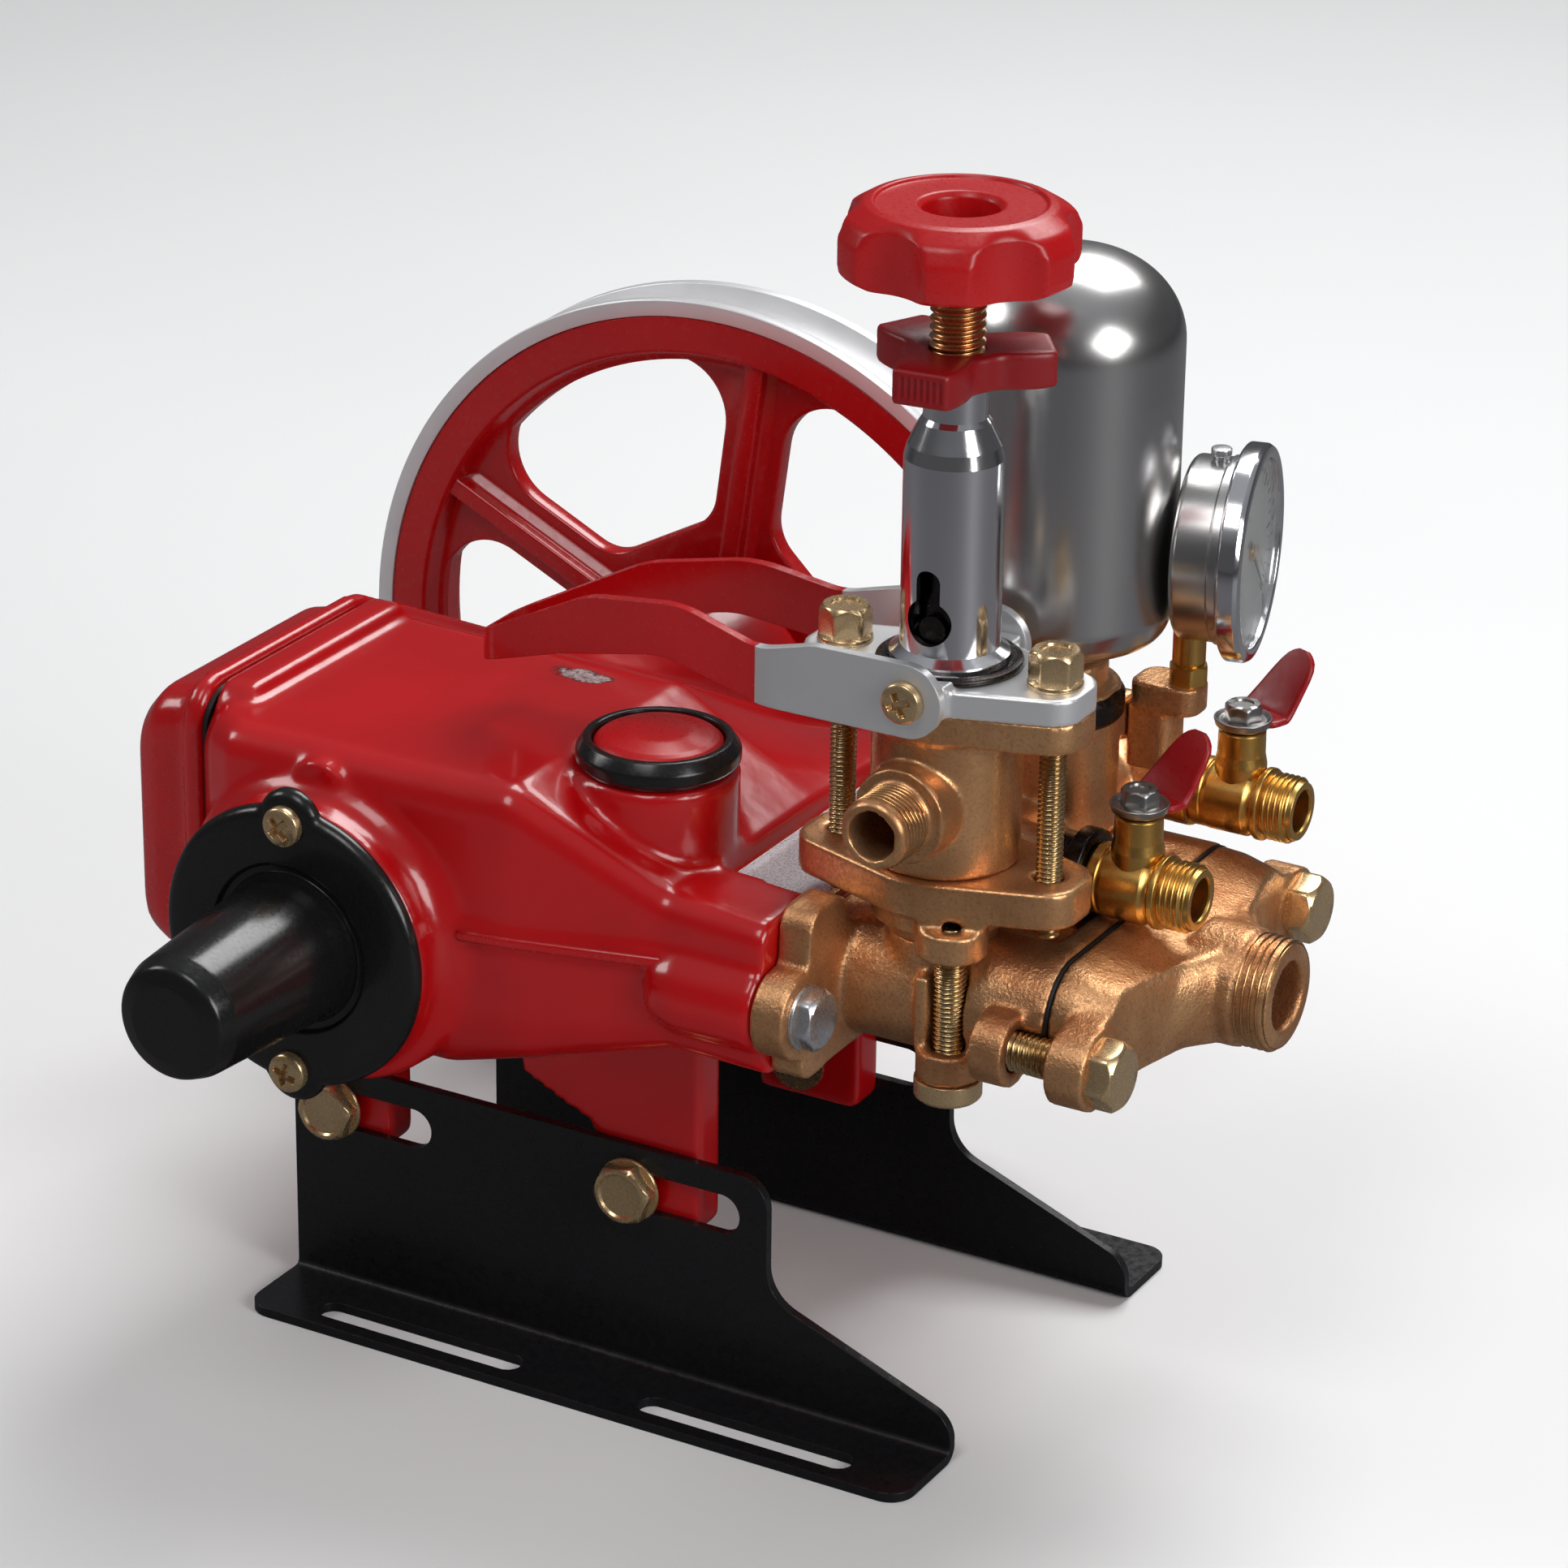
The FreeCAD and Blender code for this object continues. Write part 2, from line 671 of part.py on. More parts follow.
def build_pulley():
    """Single-groove pulley with five ribbed spokes."""
    near, far = PULLEY_Y
    width = far - near
    middle = width / 2
    web = WEB_THICKNESS / 2
    groove_low = GROOVE_WIDTH / 2 - GROOVE_DEPTH * math.tan(math.radians(GROOVE_ANGLE / 2))
    floor_r = PULLEY_R - GROOVE_DEPTH
    profile = [
        (SHAFT_R, 0),
        (HUB_R - 1, 0),
        (HUB_R + 1, middle - web),
        (RIM_INNER_R - 2, middle - web),
        (RIM_INNER_R, 0.5),
        (PULLEY_R - 5.5, 0.5),
        (PULLEY_R - 5.5, 0),
        (PULLEY_R, 0),
        (PULLEY_R, middle - GROOVE_WIDTH / 2),
        (floor_r, middle - groove_low),
        (floor_r, middle + groove_low),
        (PULLEY_R, middle + GROOVE_WIDTH / 2),
        (PULLEY_R, width),
        (PULLEY_R - 5.5, width),
        (PULLEY_R - 5.5, width - 0.5),
        (RIM_INNER_R, width - 0.5),
        (RIM_INNER_R - 2, middle + web),
        (HUB_R + 1, middle + web),
        (HUB_R - 1, width + 8),
        (SHAFT_R, width + 8),
    ]
    base = Vector(CRANK_X, near, CRANK_Z)
    body = turned(profile, (CRANK_X, near, CRANK_Z), Y_AXIS)
    window = plate_xz(window_corners(), near - 1, far + 1)
    rib = block((HUB_R - 2, RIM_INNER_R + 1), (middle - RIB_REACH - web, middle + RIB_REACH + web),
                (-RIB_WIDTH / 2, RIB_WIDTH / 2))
    step = 360.0 / SPOKES
    windows = []
    ribs = []
    for i in range(SPOKES):
        angle = SPOKE_ANGLE + i * step
        hole = window.copy()
        hole.Placement = Placement(Vector(CRANK_X, 0, CRANK_Z), Rotation(Vector(0, -1, 0), angle + step / 2))
        windows.append(hole)
        bar = rib.copy()
        bar.Placement = Placement(base, Rotation(Vector(0, -1, 0), angle))
        ribs.append(bar)
    return body.cut(windows).fuse(ribs).removeSplitter()


def build_valve_block():
    """Brass block with flange, three cylinders and bolt lugs."""
    z = CRANK_Z
    near_half = [
        (-62, z + 30.5, 6),
        (-BOLT_Y + 4, z + 30.5, 7),
        (-BOLT_Y + 2, z + 10, 6),
        (-BOLT_Y - 1, z - 22, 5),
        (-58, z - 21, 8),
    ]
    far_half = [(-y, v, r) for y, v, r in reversed(near_half)]
    top_edge = [(56, z + 19, 4), (-56, z + 19, 4)]
    flange = near_half + far_half + top_edge
    x0 = CASE_FRONT_X
    face = x0 + BLOCK_FLANGE
    parts = [plate_yz(flange, x0, face)]
    for y in (-BOLT_Y, BOLT_Y):
        parts.append(cylinder(LUG_R, BLOCK_FLANGE, (x0, y, z), X_AXIS))
    for i in (-1, 0, 1):
        parts.append(cylinder(BARREL_R, JOINT_X - face, (face, i * PITCH, z), X_AXIS))
        pocket = cylinder(BARREL_R - 3, MANIFOLD_LOW_Z - z, (MANIFOLD_X, i * PITCH, z), Z_AXIS)
        parts.append(pocket)
    web = block((face - 1, JOINT_X - 12), (-PITCH - 12, PITCH + 12), (z - 13, z + 13))
    parts.append(web)
    end = PITCH + JOINT_END
    front = [
        (-end, z - JOINT_HALF - 1, 17.5),
        (end, z - JOINT_HALF - 1, 17.5),
        (end, z + JOINT_HALF, 17.5),
        (-end, z + JOINT_HALF, 17.5),
    ]
    parts.append(plate_yz(front, JOINT_X - 8, JOINT_X))
    boss_x = JOINT_X - 17
    lug_top = CLAMP_LUG_Z + CLAMP_LUG
    for side in (-1, 1):
        y = side * EAR_Y
        parts.append(cylinder(11, 11, (boss_x, y, EAR_Z), X_AXIS))
        parts.append(block((boss_x, boss_x + 11), sorted((side * 48, y)), (EAR_Z - 10, EAR_Z + 9)))
        lug_y = side * CLAMP_Y
        parts.append(cylinder(9.7, CLAMP_LUG, (CLAMP_X, lug_y, CLAMP_LUG_Z), Z_AXIS))
        wall = block((CLAMP_X - 9, CLAMP_X + 9), sorted((side * 44, lug_y)), (CLAMP_LUG_Z, lug_top))
        parts.append(wall)
        wall_y = sorted((side * 50, side * (PITCH + 22)))
        parts.append(block((CLAMP_X - 9.5, CLAMP_X - 5.6), wall_y, (lug_top - 1, z + 12)))
    body = fuse(*parts)
    for y in (-BOLT_Y, BOLT_Y):
        body = body.cut(cylinder(M10_R + HOLE_GAP, BLOCK_FLANGE + 2, (x0 - 1, y, z), X_AXIS))
    for side in (-1, 1):
        hole = cylinder(M10_R + HOLE_GAP, 120, (CLAMP_X, side * CLAMP_Y, CLAMP_LUG_Z - 4), Z_AXIS)
        body = body.cut(hole)
        hole = cylinder(M12_R + HOLE_GAP, JOINT_X + 2 - boss_x, (boss_x - 1, side * EAR_Y, EAR_Z), X_AXIS)
        body = body.cut(hole)
    return body


def build_block_bolts():
    """Two hexagon bolts that hold the valve block to the crankcase."""
    parts = []
    for y in (-BOLT_Y, BOLT_Y):
        seat = (CASE_FRONT_X + BLOCK_FLANGE, y, CRANK_Z)
        head = hexagon(M10_FLATS, M10_HEAD, seat, X_AXIS, 1.6)
        shank = cylinder(M10_R, BLOCK_FLANGE + 18, seat, (-1, 0, 0))
        parts.append(fuse(head, shank))
    return parts[0].fuse(parts[1])


def build_clamp_bolts():
    """Two upright bolts that clamp the discharge manifold to the valve block."""
    parts = []
    low = CLAMP_LUG_Z
    for side in (-1, 1):
        y = side * CLAMP_Y
        head = turned(
            [(0, 0), (M10_R * 2, 0), (M10_R * 2, M10_HEAD - 1), (M10_R * 2 - 0.8, M10_HEAD), (0, M10_HEAD)],
            (CLAMP_X, y, low),
            (0, 0, -1),
        )
        rod = cylinder(M10_R, MANIFOLD_LOW_Z + CLAMP_PAD - low, (CLAMP_X, y, low), Z_AXIS)
        parts.append(fuse(head, rod))
    return parts[0].fuse(parts[1])


def build_suction_gasket():
    """Thin black sheet in front of the valve block."""
    z = CRANK_Z
    half = PITCH + JOINT_END + 0.5
    corners = [(-half, z - JOINT_HALF, 17.5), (half, z - JOINT_HALF, 17.5)]
    corners += [(half, z + JOINT_HALF, 17.5), (-half, z + JOINT_HALF, 17.5)]
    sheet = plate_yz(corners, JOINT_X, JOINT_X + 1)
    for side in (-1, 1):
        spot = (JOINT_X - 1, side * EAR_Y, EAR_Z)
        sheet = sheet.cut(cylinder(M12_R + HOLE_GAP, 4, spot, X_AXIS))
    return sheet


def build_suction_cover():
    """Brass suction cover with two ears and the threaded inlet."""
    z = CRANK_Z
    x0 = JOINT_X + 1
    front = EAR_BACK_X + EAR
    half = PITCH + JOINT_END
    rise = JOINT_HALF
    stations = [
        (x0, half, z - rise, z + rise, 17.5, 17.5),
        (EAR_BACK_X, half, z - rise + 1, z + rise - 1.5, 15, 15),
        (front - 1.5, half - 3, z - rise + 4, z + rise - 4.5, 11, 11),
        (front, 48, z - rise + 4.5, z + rise - 5, 11, 11),
        (front + 4.5, 30, z - rise + 4.5, z + rise - 5, 13, 13),
        (front + 11.5, SUCTION_R + 2, z - rise + 3, z + rise - 3, 15, 15),
    ]
    body = Part.makeLoft([case_section(*s) for s in stations], True, True)
    ears = []
    for side in (-1, 1):
        y = side * EAR_Y
        ears.append(cylinder(12, EAR, (EAR_BACK_X, y, EAR_Z), X_AXIS))
        arm = [(side * 40, z - 14, 0), (y, EAR_Z - 12, 4), (y, EAR_Z + 12, 4), (side * 40, z + 13, 0)]
        ears.append(plate_yz(arm, EAR_BACK_X, front - 1))
    root = cylinder(SUCTION_R + 1.4, 16, (front, 0, z), X_AXIS)
    body = fuse(body, root, *ears)
    start = x0 + 32
    pipe = cylinder(SUCTION_R, SUCTION_MOUTH_X - start - THREAD_CHAMFER, (start, 0, z), X_AXIS)
    mouth = turned(
        [(0, 0), (SUCTION_R, 0), (SUCTION_R - THREAD_CHAMFER, THREAD_CHAMFER), (0, THREAD_CHAMFER)],
        (SUCTION_MOUTH_X - THREAD_CHAMFER, 0, z),
        X_AXIS,
    )
    body = fuse(body, pipe, mouth)
    bore = cylinder(SUCTION_BORE_R, SUCTION_MOUTH_X - x0 - 9, (x0 + 10, 0, z), X_AXIS)
    body = body.cut(bore)
    for side in (-1, 1):
        hole = cylinder(M12_R + HOLE_GAP, front + 2 - x0, (x0 - 1, side * EAR_Y, EAR_Z), X_AXIS)
        body = body.cut(hole)
    return body


def build_suction_bolts():
    """Two long bolts through the ears of the suction cover."""
    parts = []
    seat_x = EAR_BACK_X + EAR
    for side in (-1, 1):
        seat = (seat_x, side * EAR_Y, EAR_Z)
        head = hexagon(M12_FLATS, M12_HEAD, seat, X_AXIS, 1.8)
        rod = cylinder(M12_R, seat_x - JOINT_X + 17, seat, (-1, 0, 0))
        parts.append(fuse(head, rod))
    return parts[0].fuse(parts[1])


def build_manifold():
    """Discharge manifold casting that carries regulator, chamber, gauge block and valves."""
    z = MANIFOLD_Z
    low = MANIFOLD_LOW_Z
    length = OUTLET_Y[1] + 14 - REG_Y
    parts = [cylinder(MANIFOLD_R, length, (MANIFOLD_X, REG_Y, z), Y_AXIS)]
    parts.append(cylinder(17, REG_PLATE_Z[0] - low, (REG_X, REG_Y, low), Z_AXIS))
    parts.append(cylinder(21, 7, (REG_X, REG_Y, REG_PLATE_Z[0] - 7), Z_AXIS))
    plate = plate_xy(oval(REG_X, REG_Y, STUD_REACH, 11, 26), *REG_PLATE_Z)
    parts.append(plate)
    parts.append(cylinder(24.5, REG_PLATE_Z[1] - REG_PLATE_Z[0], (REG_X, REG_Y, REG_PLATE_Z[0]), Z_AXIS))
    for side in (-1, 1):
        y = side * CLAMP_Y
        parts.append(cylinder(10.5, CLAMP_PAD, (CLAMP_X, y, low), Z_AXIS))
        parts.append(block((CLAMP_X - 8, CLAMP_X + 6), sorted((side * 44, y)), (low, low + CLAMP_PAD)))
    neck_top = CHAMBER_Z[0] - 5
    parts.append(cylinder(19, neck_top - 8 - z, (CHAMBER_X, CHAMBER_Y, z), Z_AXIS))
    parts.append(cylinder(15, neck_top - z, (CHAMBER_X, CHAMBER_Y, z), Z_AXIS))
    for y in OUTLET_Y:
        parts.append(cylinder(OUTLET_BODY_R, COLLAR_X - MANIFOLD_X, (MANIFOLD_X, y, OUTLET_Z), X_AXIS))
    arm = GAUGE_BLOCK_X[0] - CHAMBER_X
    parts.append(cylinder(7.5, arm, (CHAMBER_X, GAUGE_ARM_Y, GAUGE_ARM_Z), X_AXIS))
    body = fuse(*parts)
    body = body.cut(block((0, 200), (-100, 100), (0, low)))
    for side in (-1, 1):
        hole = cylinder(M10_R + HOLE_GAP, CLAMP_PAD + 2, (CLAMP_X, side * CLAMP_Y, low - 1), Z_AXIS)
        body = body.cut(hole)
    for side in (-1, 1):
        spot = (REG_X + side * STUD_REACH, REG_Y, REG_PLATE_Z[0] - 20)
        body = body.cut(cylinder(STUD_R + HOLE_GAP, 40, spot, Z_AXIS))
    return body


def build_gauge_block():
    """Rough casting under the gauge."""
    y = GAUGE_ARM_Y
    near, far = GAUGE_BLOCK_X
    root = [(near, y - 6, 3), (far - 8, y - 6, 4), (far - 8, y + 8, 4), (near, y + 8, 3)]
    top = [(near + 1, y - 7, 4), (far, y - 7, 6), (far, y + 9, 7), (near + 1, y + 9, 5)]
    low = GAUGE_ARM_Z - 14
    body = plate_xy(root, low, GAUGE_BLOCK_TOP_Z - 8)
    return fuse(body, plate_xy(top, GAUGE_BLOCK_TOP_Z - 9, GAUGE_BLOCK_TOP_Z))


def gauge_frame(point):
    """Move a point given along the gauge axis into space: (back distance, 0, 0)."""
    angle = math.radians(GAUGE_TURN)
    cx, cy, cz = GAUGE_CENTRE
    return (cx - point * math.cos(angle), cy - point * math.sin(angle), cz)


GAUGE_AXIS = (math.cos(math.radians(GAUGE_TURN)), math.sin(math.radians(GAUGE_TURN)), 0)


def build_gauge_case():
    """Round case of the gauge."""
    profile = [(0, 0), (GAUGE_CASE_R - 3, 0), (GAUGE_CASE_R, 3), (GAUGE_CASE_R, GAUGE_CASE - 3)]
    profile += [(0, GAUGE_CASE - 3)]
    return turned(profile, gauge_frame(GAUGE_CASE), GAUGE_AXIS)


def build_gauge_bezel():
    """Bright ring that holds the dial."""
    r = GAUGE_R
    profile = [(0, 0), (r - 1, 0), (r, 1), (r, 6), (r - 2, 7.5), (r - 4.5, 7.5), (r - 4.5, 4), (0, 4)]
    return turned(profile, gauge_frame(3), GAUGE_AXIS)


def build_gauge_dial():
    """Dial under its glass."""
    return cylinder(GAUGE_R - 4.7, 2, gauge_frame(-1), GAUGE_AXIS)


def build_gauge_stem():
    """Brass connection between gauge block and case."""
    spot = gauge_frame(GAUGE_CASE - 2)
    reach = GAUGE_CENTRE[2] - GAUGE_CASE_R + 8 - GAUGE_BLOCK_TOP_Z
    nut = hexagon(11, 6, (spot[0], spot[1], GAUGE_BLOCK_TOP_Z), Z_AXIS)
    stem = cylinder(5, reach, (spot[0], spot[1], GAUGE_BLOCK_TOP_Z), Z_AXIS)
    return fuse(nut, stem).cut(build_gauge_case())


def build_regulator_body():
    """Brass regulator body with return port and oval top flange."""
    x, y = REG_X, REG_Y
    low = REG_PLATE_Z[1]
    parts = [cylinder(REG_BODY_R, REG_TOP_Z - low, (x, y, low), Z_AXIS)]
    parts.append(plate_xy(oval(x, y, STUD_REACH, 10.5, 24), REG_TOP_Z, OVAL_TOP_Z))
    boss_end = RETURN_MOUTH_Y + 16
    parts.append(cylinder(14.5, y - boss_end, (x, boss_end, RETURN_Z), Y_AXIS))
    port_base = (x, boss_end, RETURN_Z)
    parts.append(cylinder(OUTLET_R, 16 - THREAD_CHAMFER, port_base, (0, -1, 0)))
    mouth = turned(
        [(0, 0), (OUTLET_R, 0), (OUTLET_R - 1.2, THREAD_CHAMFER), (0, THREAD_CHAMFER)],
        (x, RETURN_MOUTH_Y + THREAD_CHAMFER, RETURN_Z),
        (0, -1, 0),
    )
    parts.append(mouth)
    body = fuse(*parts)
    body = body.cut(cylinder(7.3, 40, (x, RETURN_MOUTH_Y - 1, RETURN_Z), Y_AXIS))
    for side in (-1, 1):
        spot = (x + side * STUD_REACH, y, REG_TOP_Z - 1)
        body = body.cut(cylinder(STUD_R + HOLE_GAP, 20, spot, Z_AXIS))
    return body


def build_regulator_flange():
    """Zinc clamp flange with flats that carry the lever pivots."""
    x, y = REG_X, REG_Y
    body = plate_xy(oval(x, y, STUD_REACH, 10.5, 25), OVAL_TOP_Z, ZINC_TOP_Z)
    flat = ARM_OFFSET - ARM / 2 - 1.0
    cheek = block((x - 11, x + 11), (y - flat, y + flat), (OVAL_TOP_Z, ZINC_TOP_Z + 2))
    body = fuse(body, cheek)
    for side in (-1, 1):
        spot = (x + side * STUD_REACH, y, OVAL_TOP_Z - 1)
        body = body.cut(cylinder(STUD_R + HOLE_GAP, 20, spot, Z_AXIS))
        pin = (REG_X + 0.5, y + side * (flat - 8), PIVOT_Z)
        body = body.cut(cylinder(PIVOT_R, 12, pin, (0, side, 0)))
    return body.cut(cylinder(HOUSING_R - 2.5, 20, (x, y, OVAL_TOP_Z - 1), Z_AXIS))


def build_spring_housing():
    """Chrome spring housing with a keyhole on its near side."""
    base = ZINC_TOP_Z + 2
    inner = HOUSING_R - HOUSING_WALL
    profile = [
        (inner, 0),
        (HOUSING_R + 3, 0),
        (HOUSING_R + 3, 2),
        (HOUSING_R, 4),
        (HOUSING_R, HOUSING_SHOULDER_Z - base - 2),
        (HOUSING_R - 1, HOUSING_SHOULDER_Z - base + 2),
        (NECK_R + 1, NECK_Z[0] - base - 1.5),
        (NECK_R, NECK_Z[0] - base),
        (NECK_R, NECK_Z[1] - base),
        (SCREW_R + RUNNING_GAP, NECK_Z[1] - base),
        (SCREW_R + RUNNING_GAP, HOUSING_SHOULDER_Z - base + 2),
        (inner, HOUSING_SHOULDER_Z - base - 3),
    ]
    body = turned(profile, (REG_X, REG_Y, base), Z_AXIS)
    hole = cylinder(7, 20, (REG_X, REG_Y - 22, 267.3), Y_AXIS)
    slot_shape = [
        (REG_X - 3.75, 267, 0),
        (REG_X + 3.75, 267, 0),
        (REG_X + 3.75, 283, 3.7),
        (REG_X - 3.75, 283, 3.7),
    ]
    slot = plate_xz(slot_shape, REG_Y - 22, REG_Y - 2)
    return body.cut(fuse(hole, slot))


def build_spring_stem():
    """Dark plunger seen through the keyhole."""
    base = ZINC_TOP_Z + 2
    reach = (HOUSING_SHOULDER_Z - base) * 0.64
    wide = HOUSING_R - HOUSING_WALL - 3.3
    profile = [(0, -6), (wide, -6), (wide, reach - 10), (6, reach - 6), (6, reach), (0, reach)]
    body = turned(profile, (REG_X, REG_Y, base), Z_AXIS)
    cam = cylinder(4.2, 12, (REG_X, REG_Y - 11, 264), Y_AXIS)
    return fuse(body, cam)


def build_regulator_bolts():
    """Two long bolts with hexagon heads through the zinc flange."""
    parts = []
    for side in (-1, 1):
        x = REG_X + side * STUD_REACH
        low = REG_PLATE_Z[0] - 7
        rod = cylinder(STUD_R, ZINC_TOP_Z - low, (x, REG_Y, low), Z_AXIS)
        head = hexagon(STUD_FLATS, STUD_HEAD, (x, REG_Y, ZINC_TOP_Z), Z_AXIS, 1.6)
        parts.append(fuse(rod, head))
    return parts[0].fuse(parts[1])


def build_lever_pivots():
    """Two screws on which the relief lever turns."""
    parts = []
    for side in (-1, 1):
        seat_y = REG_Y + side * (ARM_OFFSET + ARM / 2 + 0.4)
        shank = ARM + 0.4 + 1.0 + 7.5
        seat = (REG_X + 0.5, seat_y, PIVOT_Z)
        parts.append(pan_screw(6.2, 3.4, PIVOT_R, shank, seat, (0, side, 0)))
    return parts[0].fuse(parts[1])


def lever_strip():
    """Whole U-shaped strip of the relief lever before it is split by colour."""
    out = ARM_OFFSET + ARM / 2
    inn = ARM_OFFSET - ARM / 2
    tail = 11.0
    front = REG_X + 20
    outer = [
        (front, REG_Y - out, 0),
        (front, REG_Y + out, 0),
        (60, REG_Y + out, 40),
        (-52, REG_Y + tail, 10.5),
        (-52, REG_Y - tail, 10.5),
        (60, REG_Y - out, 40),
    ]
    inner = [
        (front + 1, REG_Y - inn, 0),
        (front + 1, REG_Y + inn, 0),
        (60.5, REG_Y + inn, 37),
        (-52 + ARM, REG_Y + tail - ARM, 7.5),
        (-52 + ARM, REG_Y - tail + ARM, 7.5),
        (60.5, REG_Y - inn, 37),
    ]
    strip = plate_xy(outer, 200, 280).cut(plate_xy(inner, 199, 281))
    pin = REG_X + 0.5
    side = [
        (pin + 11.5, PIVOT_Z - 11, 11),
        (pin + 11.5, PIVOT_Z + 11.3, 11),
        (73, 259, 20),
        (54, 254, 20),
        (26, 260, 40),
        (-8, 254, 40),
        (-52, 231, 4),
        (-52, 222, 3),
        (-18, 233.5, 40),
        (20, 243, 30),
        (56, 237, 14),
    ]
    strip = strip.common(plate_xz(side, REG_Y - 40, REG_Y + 40))
    hole = cylinder(PIVOT_R + RUNNING_GAP, 100, (pin, REG_Y - 50, PIVOT_Z), Y_AXIS)
    return strip.cut(hole)


def build_lever_fork():
    """Bright front part of the relief lever."""
    strip = lever_strip()
    return strip.common(block((LEVER_PAINT_X, 200), (-100, 100), (150, 350)))


def build_lever_handle():
    """Red rear part of the relief lever."""
    strip = lever_strip()
    return strip.common(block((-200, LEVER_PAINT_X), (-100, 100), (150, 350)))


def build_knob():
    """Six-lobed adjusting knob."""
    low, high = KNOB_Z
    depth = high - low
    profile = [
        (0, 0),
        (KNOB_R - 13, 0),
        (KNOB_R - 3, 2),
        (KNOB_R - 0.6, 3.4),
        (KNOB_R, 5.5),
        (KNOB_R, depth - 9),
        (KNOB_R - 2, depth - 4),
        (KNOB_R - 7, depth - 0.8),
        (24.3, depth),
        (23.8, depth - 1.2),
        (12.5, depth - 1.2),
        (11, depth - 2.5),
        (10.4, depth - 9),
        (0, depth - 10),
    ]
    body = turned(profile, (REG_X, REG_Y, low), Z_AXIS)
    for i in range(6):
        angle = math.radians(KNOB_LOBE_ANGLE + 30 + 60 * i)
        reach = KNOB_R + 10
        spot = (REG_X + reach * math.cos(angle), REG_Y + reach * math.sin(angle), low - 1)
        tilt = (0.08 * math.cos(angle), 0.08 * math.sin(angle), 1)
        body = body.cut(cylinder(17, depth + 4, spot, tilt))
    return body.cut(cylinder(SCREW_R, 6, (REG_X, REG_Y, low - 1), Z_AXIS))


def build_adjusting_screw():
    """Brass screw below the knob."""
    low = HOUSING_SHOULDER_Z + 1
    return cylinder(SCREW_R, KNOB_Z[0] + 5 - low, (REG_X, REG_Y, low), Z_AXIS)


def build_lock_nut():
    """Three-winged lock nut with a free bore around the screw."""
    low, high = LOCK_NUT_Z
    body = cylinder(SCREW_R + 6, high - low, (REG_X, REG_Y, low), Z_AXIS)
    half = LOCK_WING_HALF
    for i in range(3):
        angle = LOCK_WING_ANGLE + 120 * i
        wing = plate_xy(
            [
                (0, -half - 2, 0),
                (LOCK_WING_R, -half, 6),
                (LOCK_WING_R, half, 6),
                (0, half + 2, 0),
            ],
            low + 0.5,
            high - 0.5,
        )
        wing.Placement = Placement(Vector(REG_X, REG_Y, 0), Rotation(Vector(0, 0, 1), angle))
        body = body.fuse(wing)
    bore = cylinder(SCREW_R + RUNNING_GAP, 30, (REG_X, REG_Y, low - 2), Z_AXIS)
    return body.cut(bore).removeSplitter()


def build_air_chamber():
    """Stainless air chamber with a domed top on a short neck."""
    low, high = CHAMBER_Z
    total = high - low
    r = CHAMBER_R
    neck = 5.0
    profile = [(0, -neck), (12, -neck), (12, 0), (r - 10, 0)]
    for angle in (-60, -30, 0):
        a = math.radians(angle)
        profile.append((r - 10 + 10 * math.cos(a), 12 + 12 * math.sin(a)))
    dome = 27.0
    for angle in (0, 15, 30, 45, 60, 75, 90):
        a = math.radians(angle)
        profile.append((r * math.cos(a), total - dome + dome * math.sin(a)))
    return turned(profile, (CHAMBER_X, CHAMBER_Y, low), Z_AXIS)


def stem_spot(i):
    """Plan position of the stem of one ball valve."""
    return COLLAR_X + COLLAR[i] + VALVE_STEM, OUTLET_Y[i]


def build_collar(i):
    """Union ring between manifold and one ball valve."""
    r = COLLAR_R[i]
    root = OUTLET_BODY_R + 0.6
    width = COLLAR[i]
    profile = [(0, 0), (root, 0), (root, width - 6.4), (r, width - 5.6)]
    profile += [(r, width - 1), (r - 1, width), (0, width)]
    return turned(profile, (COLLAR_X, OUTLET_Y[i], OUTLET_Z), X_AXIS)


def build_outlet_valve(i):
    """Ball valve body with stem boss and threaded outlet."""
    y = OUTLET_Y[i]
    z = OUTLET_Z
    start = COLLAR_X + COLLAR[i]
    length = VALVE
    r = OUTLET_BODY_R
    profile = [
        (0, 0),
        (r - 1, 0),
        (r, 1.2),
        (r, 18),
        (r - 1.5, 20),
        (r - 1.5, 21.5),
        (r + 0.4, 22.1),
        (r + 0.4, 23.6),
        (OUTLET_R, 24.2),
        (OUTLET_R, length - THREAD_CHAMFER),
        (OUTLET_R - 1.2, length),
        (OUTLET_BORE_R, length),
        (OUTLET_BORE_R, 18),
        (0, 18),
    ]
    body = turned(profile, (start, y, z), X_AXIS)
    rise = STEM_TOP_Z - z
    stem_profile = [(0, 0), (STEM_R + 1, 0), (STEM_R + 0.6, 13), (STEM_R, 15), (STEM_R, rise), (0, rise)]
    stem = turned(stem_profile, (stem_spot(i)[0], y, z), Z_AXIS)
    bore = cylinder(OUTLET_BORE_R, length, (start + 18, y, z), X_AXIS)
    return fuse(body, stem).cut(bore)


